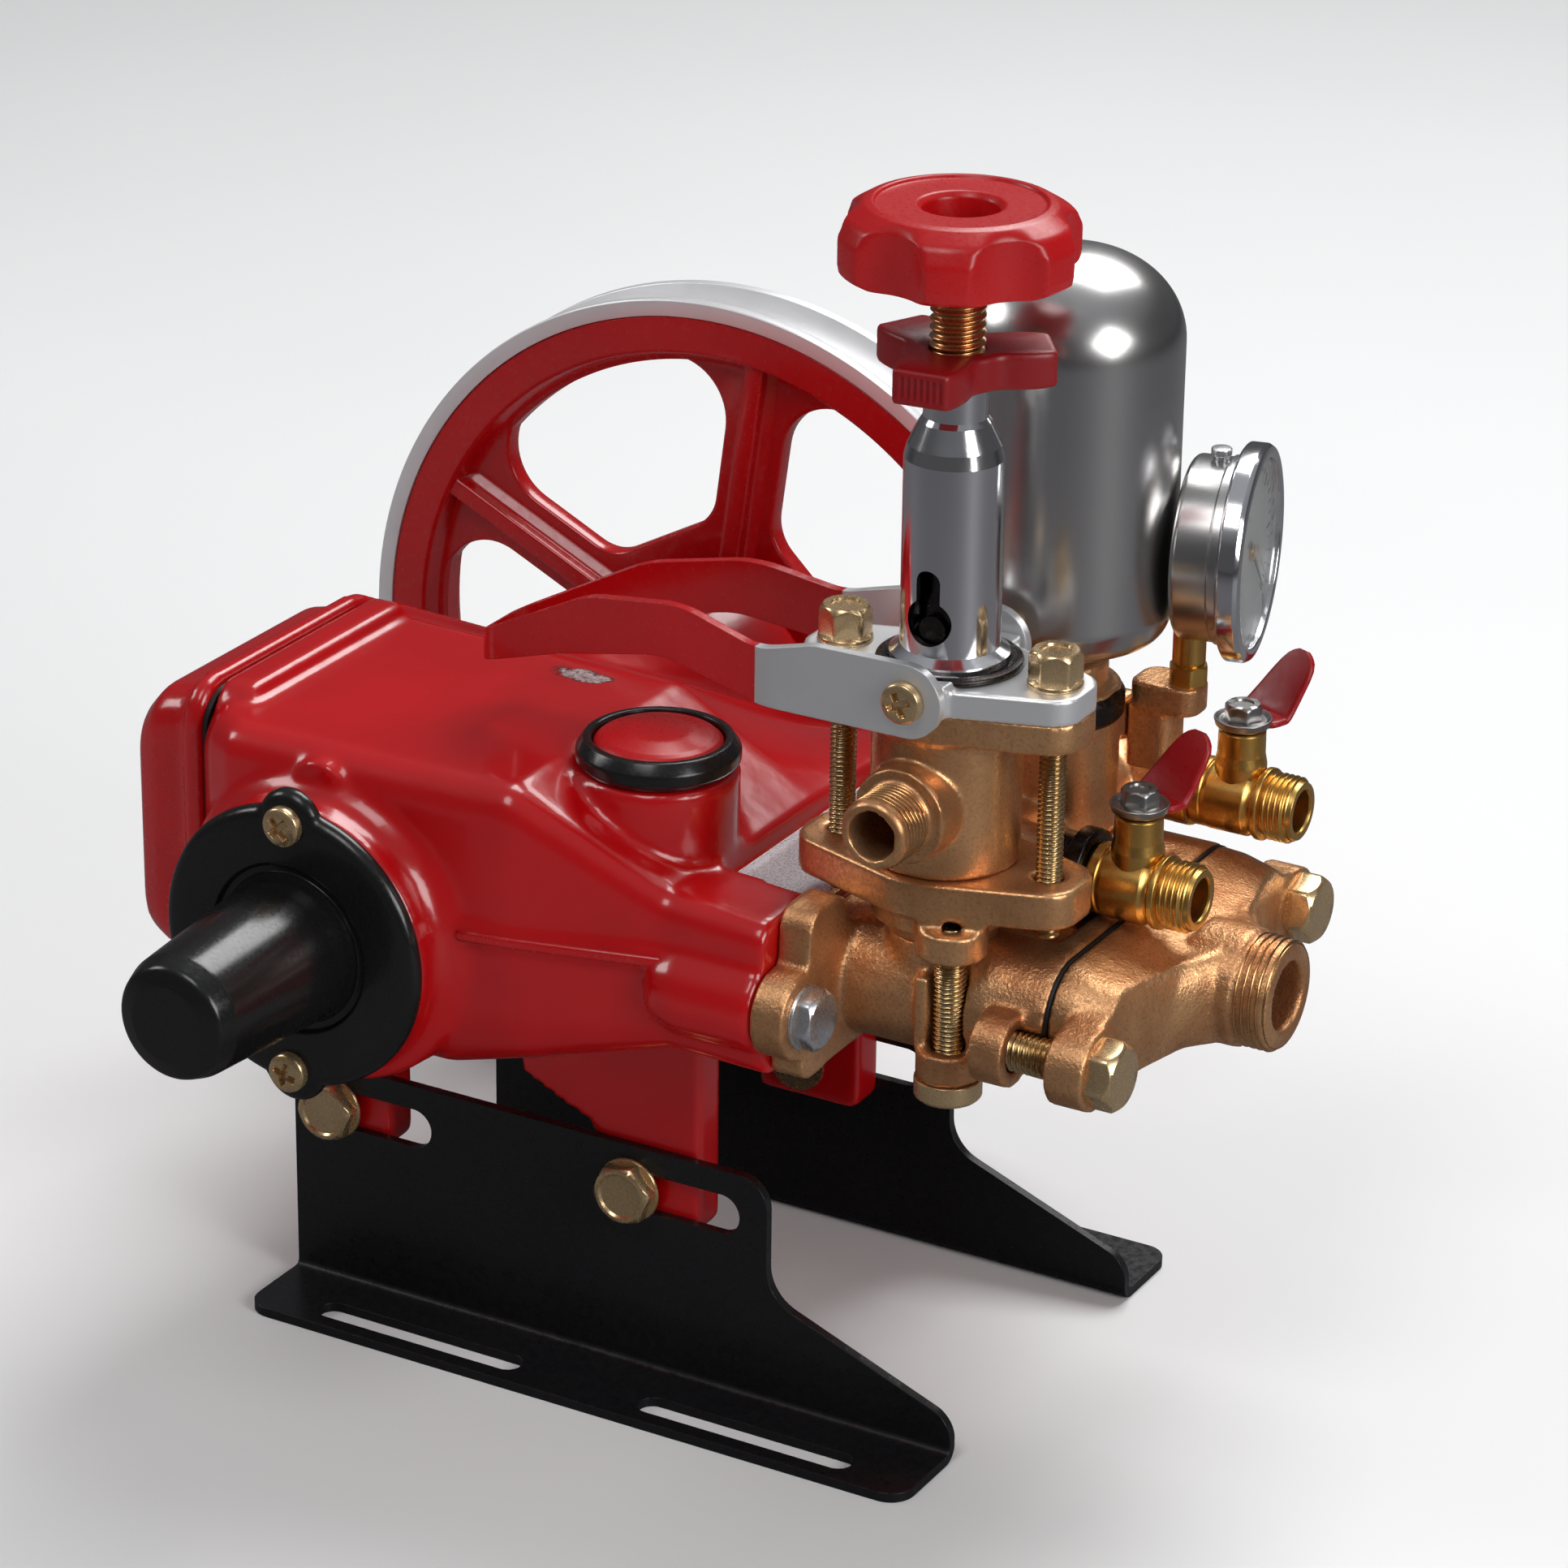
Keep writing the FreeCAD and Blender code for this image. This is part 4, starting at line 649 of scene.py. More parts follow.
@dataclass(frozen=True)
class Glass:
    """Clear window of the gauge."""

    name: str

    def build(self) -> bpy.types.Material:
        """Material of this finish."""
        g = Shader(self.name)
        g.set(Base_Color=(0.9, 0.93, 0.92), Roughness=g.spread(g.noise(60.0, 2.0), 0.02, 0.07),
              IOR=1.45, Transmission_Weight=1.0, Alpha=0.35)
        return g.material


class Palette:
    """All materials of the pump, one for each finish and a few of their variants."""

    def __init__(self) -> None:
        """Builds every material once."""
        red, deep_red = (0.47, 0.002, 0.004), (0.38, 0.0015, 0.003)
        finishes = [
            Enamel("red_enamel", red, deep_red, chip=(-40.0, -14.0, 205.5)),
            Enamel("red_enamel_plain", red, deep_red),
            Enamel("black_paint", (0.007, 0.007, 0.008), (0.005, 0.005, 0.006), 0.32, 0.1, 0.12),
            CastMetal("cast_brass", (0.80, 0.44, 0.21), (0.52, 0.23, 0.10), (0.27, 0.45)),
            CastMetal("cast_brass_fine", (0.76, 0.42, 0.20), (0.56, 0.27, 0.12), (0.27, 0.43), 0.07),
            Metal("smooth_brass", (0.76, 0.46, 0.13), (0.68, 0.39, 0.10), (0.26, 0.34), 900.0, 0.001,
                  stretch=(6.0, 0.6, 0.6)),
            Metal("thread_brass", (0.68, 0.39, 0.17), (0.56, 0.29, 0.12), (0.24, 0.32), 1200.0, 0.001),
            Metal("thread_zinc", (0.56, 0.40, 0.20), (0.46, 0.31, 0.15), (0.24, 0.32), 1200.0, 0.001),
            Metal("chrome", (0.80, 0.80, 0.82), (0.77, 0.77, 0.79), (0.11, 0.15), 500.0, 0.0005,
                  stretch=(1, 1, 0.2)),
            Metal("stainless", (0.58, 0.57, 0.56), (0.56, 0.55, 0.54), (0.25, 0.27), 900.0, 0.0002,
                  stretch=(0.5, 0.5, 9.0)),
            Metal("satin_zinc", (0.84, 0.85, 0.86), (0.79, 0.80, 0.81), (0.34, 0.38), 900.0, 0.0005,
                  cloud=25.0, edge=0.5, metallic=0.78),
            Metal("bright_zinc", (0.70, 0.71, 0.73), (0.64, 0.65, 0.67), (0.24, 0.34), 1400.0, 0.001,
                  metallic=0.93),
            Metal("grey_steel", (0.42, 0.41, 0.40), (0.36, 0.35, 0.34), (0.3, 0.36), 1200.0, 0.0005),
            Metal("yellow_zinc", (0.74, 0.53, 0.29), (0.68, 0.48, 0.26), (0.2, 0.3), 1500.0, 0.0005,
                  metallic=0.88),
            Metal("dark_steel", (0.06, 0.05, 0.047), (0.03, 0.027, 0.026), (0.2, 0.4), 900.0, 0.004),
            Metal("machined_rim", (0.90, 0.90, 0.91), (0.84, 0.84, 0.85), (0.3, 0.38), 700.0, 0.001,
                  stretch=(0.4, 9.0, 0.4), metallic=0.5),
            Moulded("black_rubber", (0.010, 0.010, 0.010), (0.38, 0.55), 0.006),
            Moulded("black_plastic", (0.008, 0.008, 0.008), (0.16, 0.28), 0.003),
            Moulded("red_plastic", (0.48, 0.003, 0.005), (0.26, 0.36), 0.003),
            Moulded("dark_red_plastic", (0.26, 0.002, 0.005), (0.3, 0.42), 0.004),
            Moulded("red_dip", (0.36, 0.003, 0.007), (0.26, 0.36), 0.006, 400.0),
            # dial grey is darkened to stand in for the dark reflection on the gauge window: painted
            # reflection
            Moulded("dial", (0.44, 0.44, 0.43), (0.4, 0.5)),
            Moulded("dial_marks", (0.03, 0.03, 0.03), (0.4, 0.5)),
            Glass("window"),
        ]
        self.made = {f.name: f.build() for f in finishes}

    def __getitem__(self, name: str) -> bpy.types.Material:
        """Material by name."""
        return self.made[name]


@dataclass
class Workshop:
    """Puts pieces on the pump: gives them their finish and body; each piece's record slot is worked out
    but not kept.
    """

    palette: Palette
    nodes: dict[str, bpy.types.Object]

    def piece(self, name: str, patches: Sequence[Patch], finish: str, *stands_for: str,
              body: Body = Body.PUMP, slot: Slot | None = None, sharp: float = 38.0,
              closed: bool = True) -> None:
        """New piece of the pump.

        Args:
            name: object name.
            patches: its surfaces in millimetres.
            finish: material name.
            stands_for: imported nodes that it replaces.
            body: body that it rides on.
            slot: finish in the record, where it isn't that of the material.
            sharp: angle in degrees over which edges stay sharp.
            closed: whether its shells are closed.
        """
        slot = slot or VARIANTS.get(finish) or Slot(finish)
        obj = make_mesh(name, patches, sharp, closed)
        obj.data.materials.append(self.palette[finish])
        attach(obj, body.value)
        if stands_for:
            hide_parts(*stands_for)
        LOG.info("%s: %d faces", name, len(obj.data.polygons))

    def keep(self, node: str, finish: str, cast: Cast | None = None) -> None:
        """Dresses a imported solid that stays.

        Args:
            node: node name.
            finish: material name.
            cast: grain in millimetres and smoothing passes of a cast surface.
        """
        obj = self.nodes[node]
        for slot in obj.material_slots:
            slot.material = self.palette[finish]
        if cast is not None:
            add_cast(obj, *cast)
        LOG.info("%s: packed solid, %s", node, finish)


# groups of pieces


@dataclass
class Housing:
    """Red crankcase with its rear cover, gasket, well plate and brackets, kept from the solids."""

    casting: Cast = (1.9, 2)
    cover: Cast = (2.0, 3)
    rib_z: float = 158.0

    def rib(self) -> Patch:
        """Slim rib on the near wall: one rounded section drawn along X, closed at both ends.

        At a station (x, crest, size) the section's points are (x, crest + size a, rib_z + size b).
        """
        stations = np.array([(-29.0, -103.5, 0), (-29.0, -103.5, 1), (-26.0, -106.9, 1),
                             (-12.0, -104.4, 1), (13.0, -98.2, 1), (38.0, -91.9, 1), (44.0, -89.6, 1),
                             (44.0, -89.6, 0)])
        x, crest, size = stations.T[..., None]
        a, b = rounded([(0.0, -1.6, 1.3), (0.0, 1.6, 1.3), (9.0, 3.6), (9.0, -3.6)], closed=True).T
        return Patch(np.stack([x + 0 * a, crest + size * a, self.rib_z + size * b], -1), close_cols=True)

    def build(self, shop: Workshop) -> None:
        """Dresses the castings and the bent brackets."""
        shop.piece("side_rib_crest", [self.rib()], "red_enamel_plain", sharp=50)
        shop.keep("crankcase", "red_enamel", self.casting)
        shop.keep("rear_cover", "red_enamel_plain", self.cover)
        shop.keep("rear_gasket", "black_rubber")
        shop.keep("well_plate", "bright_zinc")
        shop.keep("bracket_near", "black_paint")
        shop.keep("bracket_far", "black_paint")


@dataclass
class FillerPlug:
    """Black ring and domed red cap on the filler neck."""

    centre: Point = (12.0, -55.0, 203.0)
    ring_r: float = 24.6
    cap_r: float = 19.3

    def build(self, shop: Workshop) -> None:
        """Turned ring and cap."""
        r, c = self.ring_r, self.cap_r
        ring = [(19.6, 0), (22.6, 0, 0.8), (r, 2.2, 1.2), (r, 5.4, 2.0), (r - 2.4, 8.9, 1.0),
                (19.9, 9.0, 0.8), (19.6, 7.0), (19.6, 0)]
        cap = [(0, 0), (c, 0), (c, 7.4, 0.8), (c - 1.4, 8.6, 1.0), (c - 3.0, 9.4, 3.0), (10, 11.0, 12.0),
               (0, 11.4)]
        shop.piece("filler_ring_turned", [turned(ring, self.centre, Z_AXIS, 128)], "black_plastic",
                   "filler_ring", sharp=60)
        shop.piece("filler_cap_domed", [turned(cap, self.centre, Z_AXIS, 128, 8)], "red_plastic",
                   "filler_cap", sharp=60)


@dataclass
class ShaftEndCover:
    """Black pressed cover over the free shaft end, with its two cross-headed screws."""

    centre: Point = (SHAFT_X, -119.3, SHAFT_Z)
    plate_r: float = 44.6
    plate: float = 4.7
    ear_reach: float = 40.0
    ear_r: float = 10.5
    tube: float = 66.0
    bore_r: float = 17.5

    def outline(self, t: Array, shrink: float) -> Array:
        """Radius of the flange in direction t: the larger of the disc and the two round ears."""
        side = np.cos(t) * self.ear_reach
        ear_r = self.ear_r - shrink
        root = np.sqrt(np.clip(ear_r ** 2 - side ** 2, 0, None))
        ear = np.where(np.abs(side) < ear_r, self.ear_reach * np.abs(np.sin(t)) + root, 0.0)
        return soft_max(np.full_like(t, self.plate_r - shrink), ear, 1.6)

    def build(self, shop: Workshop) -> None:
        """Flange with ears as a polar surface, then the tube, then the screws."""
        t = full_turn(220)[0]
        top, tube = self.plate, self.tube
        rings = [(self.bore_r, 0.0)]
        rings += [(self.outline(t, shrink), s) for shrink, s in
                  ((0.3, 0.0), (0.0, 0.4), (0.0, 1.8), (0.5, 3.0), (1.6, 4.2), (3.2, top))]
        rings += list(rounded([(36, top), (27.0, top, 0.8), (26.2, 3.0, 0.5), (24.0, 3.0, 0.6),
                               (23.4, 5.0, 0.8), (22.6, 12, 3), (19.5, tube - 8, 6),
                               (17.4, tube - 1.6, 3.2), (12.0, tube, 4), (0, tube)], 6))
        rings += [(0, tube - 6.0), (13.5, tube - 6.0), (self.bore_r, tube - 10.0)]
        cx, cy, cz = self.centre
        points = np.stack([np.stack([cx + r * np.cos(t), cy - s + 0 * t, cz + r * np.sin(t)], -1)
                           for r, s in rings])
        shop.piece("shaft_end_cover_moulded", [Patch(points, close_rows=True, close_cols=True)],
                   "black_plastic", "shaft_end_cover", sharp=45)
        heads = [cross_head(6.2, 3.8, (cx, cy - top, cz + s * self.ear_reach), NEAR_AXIS, 12 + 30 * s)
                 for s in SIDES]
        shop.piece("cover_screw_heads", heads, "yellow_zinc", "cover_screws", sharp=30)


@dataclass
class Knob:
    """Six-lobed red knob, lock nut and brass adjusting screw."""

    low: float = 365.5
    high: float = 388.0
    radius: float = 35.0
    lobe: float = -68.0
    flute_r: float = 17.0
    flute_reach: float = 45.0
    nut_low: float = 335.5
    nut_high: float = 346.3
    nut_turn: float = -84.6
    wing_r: float = 27.3
    wing_half: float = 9.5
    screw_r: float = 8.0
    screw_low: float = 318.0
    screw: float = 48.0

    def at(self, r: Array, t: Array, z: Array) -> Array:
        """Points at radius r, angle t and height z about the knob's axis."""
        x, y = REGULATOR
        return np.stack([x + r * np.cos(t), y + r * np.sin(t), z + 0 * t], -1)

    def knob_surface(self) -> Patch:
        """Knob: its turned radius, softly cut by six upright round flutes.

        A flute of radius f at distance d leaves d cos a - sqrt(f f - d d sin a sin a) in direction a
        from its middle. Flutes lean out towards the top. The top ring carries short plain ticks.
        """
        h, r = self.high - self.low, self.radius
        line = rounded([(9, 0.0), (r - 14, 0.0, 1), (r - 12.5, 0.0, 1), (r - 3.5, 1.6, 3),
                        (r - 0.6, 3.2, 1.5), (r, 6.0, 2), (r, h - 9, 5), (r - 2.4, h - 4, 5),
                        (r - 8, h - 0.6, 3), (24.4, h, 0.8), (23.8, h - 1.1, 0.5), (22.6, h - 1.1),
                        (14.0, h - 1.1), (12.4, h - 1.1, 1.2), (11.0, h - 2.6, 1.5), (10.4, h - 9, 1),
                        (0, h - 10)], 7)
        t = full_turn(264)
        base, z = line[:, :1] + 0 * t, line[:, 1:2] + 0 * t
        a = (t - math.radians(self.lobe)) % (math.pi / 3) - math.pi / 6
        d = self.flute_reach + 0.08 * z
        root = np.clip(self.flute_r ** 2 - (d * np.sin(a)) ** 2, 0, None)
        limit = np.where(root > 0, d * np.cos(a) - np.sqrt(root), 60.0)
        cut = np.where(base > 20, soft_min(base, limit, 1.6), base)
        tick = smooth((np.cos(24 * t) - 0.86) / 0.08)
        band = smooth((base - 15.2) / 0.6) * smooth((21.6 - base) / 0.6) * (z > h - 3)
        return Patch(self.at(cut, t, self.low + z + 0.45 * tick * band), close_cols=True)

    def nut_surface(self) -> Patch:
        """Lock nut: in each direction the larger of the hub and three rounded wings.

        A wing reaches min(reach / cos a, half / sin a), corners softened; fine upright ribs stand
        on the wing ends. Each row is (inset, height, share of the ribs).
        """
        t = full_turn(720)
        a = (t - math.radians(self.nut_turn) + math.pi / 3) % (TAU / 3) - math.pi / 3
        end = self.wing_r / np.maximum(np.cos(a), 0.2)
        side = (self.wing_half + 1.5 * smooth(1 - np.abs(a))) / np.maximum(np.abs(np.sin(a)), 0.05)
        outer = soft_max(np.full_like(t, self.screw_r + 6.2), soft_min(end, side, 14.0), 3.0)
        ribs = 0.6 * (0.5 + 0.5 * np.cos(t * 90)) ** 0.7 * smooth((0.30 - np.abs(a)) / 0.06)
        h, bore = self.nut_high - self.nut_low, self.screw_r + 0.1
        rows = [(1.6, 0.0, 0), (0.5, 0.4, 0), (0.0, 1.4, 0), (0.0, 2.2, 0), (0.0, 2.8, 1),
                (0.0, h - 2.6, 1), (0.0, h - 2.0, 0), (0.2, h - 1.0, 0), (0.8, h - 0.3, 0), (2.0, h, 0)]
        rings = [(bore, 0.0)] + [(outer - inset - rib * ribs, z) for inset, z, rib in rows]
        rings += [(bore + 2.0, h - 0.2), (bore, h - 1.2)]
        points = np.concatenate([self.at(r + 0 * t, t, self.nut_low + z) for r, z in rings])
        return Patch(points, close_rows=True, close_cols=True)

    def build(self, shop: Workshop) -> None:
        """Knob, nut and screw."""
        shop.piece("adjusting_knob_lobed", [self.knob_surface()], "red_plastic", "adjusting_knob",
                   body=Body.KNOB, sharp=50)
        shop.piece("lock_nut_winged", [self.nut_surface()], "dark_red_plastic", "lock_nut",
                   body=Body.LOCK_NUT, sharp=50)
        rod = threaded_rod(self.screw_r, 2.6, 1.15, self.screw_r - 1.2, self.screw,
                           (*REGULATOR, self.screw_low), Z_AXIS, 72, 12)
        shop.piece("adjusting_screw_thread", rod, "thread_brass", "adjusting_screw", body=Body.KNOB,
                   sharp=60)


@dataclass
class AirChamber:
    """Brushed steel chamber with a domed top."""

    base: Point = (*CHAMBER, 236.0)
    radius: float = 33.8
    height: float = 120.5
    dome: float = 27.0

    def build(self, shop: Workshop) -> None:
        """One turned shell: neck, rounded bottom, wall and elliptic dome."""
        r, h = self.radius, self.height
        a = np.linspace(0, math.pi / 2, 24)
        dome = np.stack([r * np.cos(a) ** 0.92, h - self.dome + self.dome * np.sin(a)], 1)
        low = rounded([(0, -5), (12, -5), (12, 0, 0.6), (r - 11, 0.4, 3), (r - 3.0, 4.0, 8),
                       (r, 12.0, 7), (r, 20)], 8)
        wall = np.array([(r, s) for s in np.linspace(22, h - self.dome - 1, 10)])
        line = np.concatenate([low, wall, dome])
        line[-1, 0] = 0
        shop.piece("air_chamber_spun", [turned(line, self.base, Z_AXIS, 160)], "stainless", "air_chamber",
                   sharp=50)


@dataclass
class Gauge:
    """Pressure gauge: case, bezel, dial with plain marks, needle, window and vent screw."""

    centre: Point = (153.0, 45.0, 265.0)
    turn: float = 13.0
    bezel_r: float = 32.5
    case_r: float = 27.5
    case: float = 18.0
    marks: int = 31
    sweep: float = 270.0
    stem_low: float = 222.0

    def axis(self) -> Point:
        """Direction in which the dial looks."""
        a = math.radians(self.turn)
        return (math.cos(a), math.sin(a), 0.0)

    def back(self, distance: float) -> Point:
        """Point behind the dial by a distance."""
        return moved(self.centre, self.axis(), -distance)

    def bar(self, radius: tuple[float, float], angle: float, width: tuple[float, float],
            top: float) -> Patch:
        """Flat bar on the dial between two radii, as a thin closed box.

        Args:
            radius: inner and outer end.
            angle: direction in degrees, 0 up and growing clockwise.
            width: width at the inner and outer end.
            top: height of its top over the dial.
        """
        t = math.radians(angle)
        along, across = np.array((math.sin(t), math.cos(t))), np.array((math.cos(t), -math.sin(t)))
        loop = np.array([along * radius[k] + across * width[k] * s / 2
                         for k, s in ((0, -1), (1, -1), (1, 1), (0, 1))])
        middle = loop.mean(axis=0)
        front = np.array(self.axis())
        side = np.array((-front[1], front[0], 0.0))
        low = top - 0.2
        points = []
        for share, height in ((0, low), (1, low), (1, top), (0, top)):
            ring = middle + (loop - middle) * share
            flat = ring[:, 1:] * np.array(Z_AXIS) - ring[:, :1] * side
            points.append(np.array(self.centre) + height * front + flat)
        return Patch(np.stack(points), close_cols=True)

    def build_dial(self, shop: Workshop) -> None:
        """Disc, marks, needle, boss and window."""
        axis, g = self.axis(), self.bezel_r
        disc = [(0, -0.6), (g - 4.8, -0.6), (g - 4.8, 1.0), (0, 1.0)]
        shop.piece("gauge_dial_disc", [turned(disc, self.centre, axis)], "dial", "gauge_dial", sharp=30)
        angles = np.linspace(-self.sweep / 2, self.sweep / 2, self.marks)
        lines = []
        for i, angle in enumerate(angles):
            inner, width = (g - 10.5, 0.7) if i % 5 == 0 else (g - 8.3, 0.35)
            lines.append(self.bar((inner, g - 6.3), angle, (width, width), 1.25))
        lines.append(self.bar((-6, g - 9), angles[0], (2.2, 0.5), 1.9))
        shop.piece("gauge_marks", lines, "dial_marks", sharp=30)
        boss = [(0, 1.0), (2.6, 1.0), (2.6, 2.2, 0.4), (0, 2.4)]
        shop.piece("gauge_needle_boss", [turned(boss, self.centre, axis, 32)], "smooth_brass",
                   slot=Slot.DIAL)
        pane = [(0, 3.1), (g - 4.85, 3.1), (g - 4.85, 4.0), (0, 4.0)]
        shop.piece("gauge_window", [turned(pane, self.centre, axis)], "window", sharp=30)

    def build(self, shop: Workshop) -> None:
        """Builds every piece of the gauge."""
        axis = self.axis()
        c, g = self.case_r, self.bezel_r
        case = [(0, 0), (c - 4, 0), (c, 0.2, 3.5), (c, 11.5, 0.4), (c + 0.6, 12.0, 0.3), (c + 0.6, 14.6),
                (0, 14.6)]
        shop.piece("gauge_case_pressed", [turned(case, self.back(self.case), axis, 128)], "stainless",
                   "gauge_case", sharp=40)
        bezel = [(c - 2, 0), (g - 1.2, 0, 0.5), (g, 0.8, 0.8), (g, 5.6, 0.8), (g - 0.8, 7.0, 0.8),
                 (g - 2.6, 7.5, 0.8), (g - 4.2, 7.2, 0.5), (g - 4.7, 5.6, 0.3), (g - 4.7, 3.4),
                 (c - 2, 3.4), (c - 2, 0)]
        shop.piece("gauge_bezel_rolled", [turned(bezel, self.back(3.0), axis, 160)], "chrome",
                   "gauge_bezel", slot=Slot.STAINLESS, sharp=40)
        self.build_dial(shop)
        vent = [(0, 0), (2.4, 0), (2.4, 2.4, 0.3), (3.1, 2.6, 0.3), (3.1, 4.6, 0.5), (0, 4.8)]
        spot = moved(self.back(9.0), Z_AXIS, c - 0.6)
        shop.piece("gauge_vent_screw", [turned(vent, spot, Z_AXIS, 40)], "bright_zinc",
                   slot=Slot.STAINLESS)
        stem = (*self.back(16.0)[:2], self.stem_low)
        neck = [(0, 5.5), (4.6, 5.5), (5.0, 7.0, 0.5), (5.0, 19.0), (0, 19.0)]
        parts = [hex_bar(11.0, 6.0, stem, Z_AXIS, 0.8), turned(neck, stem, Z_AXIS, 48)]
        shop.piece("gauge_stem_turned", parts, "smooth_brass", "gauge_stem")


@dataclass
class BallValve:
    """One brass ball valve with collar, threaded outlet, bent red lever and zinc nut."""

    name: str
    y: float
    collar: float
    collar_r: float
    collar_finish: str
    lever_turn: float
    body: Body
    z: float = 179.8
    start: float = 125.5
    length: float = 34.0
    stem: float = 13.1
    top: float = 202.6
    radius: float = 10.9
    outlet_r: float = 10.475
    bore_r: float = 6.5
    bend: float = 10.6
    sheet: float = 2.0

    def valve_patches(self) -> list[Patch]:
        """Turned body with its rings, threaded end, bore and stem boss."""
        base = (self.start + self.collar, self.y, self.z)
        r, n, b, rise = self.radius, self.length, self.bore_r, self.top - self.z
        outer = [(0, 0), (r - 1.2, 0, 0.4), (r - 0.2, 1.2, 0.6), (r - 0.2, 4.0, 0.2), (r - 0.8, 4.5, 0.2),
                 (r - 0.2, 5.0, 0.2), (r, 6.0, 0.4), (r, 18.2, 0.8), (r - 1.3, 19.6, 0.6),
                 (r - 1.3, 20.6, 0.3), (r + 0.35, 21.4, 0.6), (r + 0.35, 23.2, 0.6), (r - 1.4, 24.0, 0.3)]
        mouth = [(r - 1.6, n - 1.4), (r - 2.0, n, 0.3), (b + 0.4, n, 0.4), (b, n - 0.8, 0.3), (b, 17),
                 (0, 17)]
        boss = [(0, 0), (8.2, 0), (7.9, 12, 2), (7.3, 15, 2), (7.2, rise - 0.6, 0.4), (6.6, rise, 0.3),
                (0, rise)]
        root = moved(base, X_AXIS, 24.0)
        screw = thread(self.outlet_r, PITCH_G_HALF, 1.0, n - 25.2, root, X_AXIS, 64, 12)
        return [turned(outer, base, X_AXIS), screw, turned(mouth, base, X_AXIS, 64),
                turned(boss, moved(base, X_AXIS, self.stem), Z_AXIS, 64)]

    def lever_patch(self) -> Patch:
        """Lever: a plan grid bent up behind the stem.

        Rows run outward from the stem, columns across. The height is a soft ramp past the bend, and
        the thickness is set square to the sheet by moving the two faces apart.
        """
        run = 3.0 + np.linspace(0, 1, 60)[:, None] * 19.9
        w = np.linspace(-1, 1, 26)[None]
        past = np.clip(run - self.bend, 0, None)
        up = 1.72 * (past - 1.6 * (1 - np.exp(-past / 1.6)))
        knots = (3.0, 6, 8, 9.5, 11.5, 14, 17, 19, 20.5, 21.6, 22.4, 22.9)
        left = np.interp(run, knots, (5.5, 8.2, 10.4, 11.8, 12.4, 11.0, 8.8, 7.2, 5.8, 4.4, 2.6, 0.4))
        right = np.interp(run, knots, (5.5, 7.6, 7.9, 7.9, 7.8, 7.7, 7.8, 7.9, 7.6, 6.6, 4.8, 2.6))
        across = (left - right) / 2 + w * (left + right) / 2
        slope = np.gradient(up[:, 0], run[:, 0])[:, None]
        lean = 1 / np.sqrt(1 + slope ** 2)
        half = self.sheet / 2 * (1 - np.clip(np.abs(w) - 0.94, 0, 1) / 0.06 * 0.5)
        middle = self.top + 0.65 + self.sheet / 2 + up
        lower, upper = (np.stack([run - s * slope * lean * half, across, middle + s * lean * half], -1)
                        for s in SIDES)
        ring = np.concatenate([upper, lower[:, ::-1]], axis=1)
        caps = ring.mean(axis=1, keepdims=True) + 0 * ring
        points = np.concatenate([caps[:1], ring, caps[-1:]])
        x, y = turned_by(self.lever_turn, points[..., 0], points[..., 1])
        place = self.start + self.collar + self.stem
        return Patch(np.stack([place + x, self.y + y, points[..., 2]], -1), close_cols=True)

    def build(self, shop: Workshop) -> None:
        """Collar, valve, lever, washer and nut."""
        end, w, r = self.name, self.collar, self.collar_r
        ring = [(0, 0), (11.5, 0), (11.5, w - 6.2, 0.3), (r, w - 5.4, 0.8), (r, w - 0.6, 0.8),
                (r - 1.4, w, 0.4), (0, w)]
        shop.piece(f"collar_{end}_turned", [turned(ring, (self.start, self.y, self.z), X_AXIS)],
                   self.collar_finish, f"collar_{end}")
        shop.piece(f"outlet_valve_{end}_turned", self.valve_patches(), "smooth_brass",
                   f"outlet_valve_{end}", sharp=45)
        shop.piece(f"valve_lever_{end}_bent", [self.lever_patch()], "red_dip", f"valve_lever_{end}",
                   body=self.body, sharp=60)
        spot = (self.start + w + self.stem, self.y, self.top + 2.75)
        washer = [(0, -2.0), (7.4, -2.0, 0.4), (8.3, -1.4, 0.6), (8.9, 0.7, 0.5), (8.5, 1.0, 0.2),
                  (7.3, -0.1, 0.5), (6.0, 0.0), (5.2, 0.5, 0.3), (0, 0.5)]
        shop.piece(f"valve_washer_{end}", [turned(washer, spot, Z_AXIS, 72)], "grey_steel",
                   body=self.body)
        nut = hex_bar(10.5, 5.2, moved(spot, Z_AXIS, 0.2), Z_AXIS, 1.0, self.lever_turn, hollow=3.2)
        shop.piece(f"valve_nut_{end}_hex", [nut], "grey_steel", f"valve_nut_{end}", body=self.body)


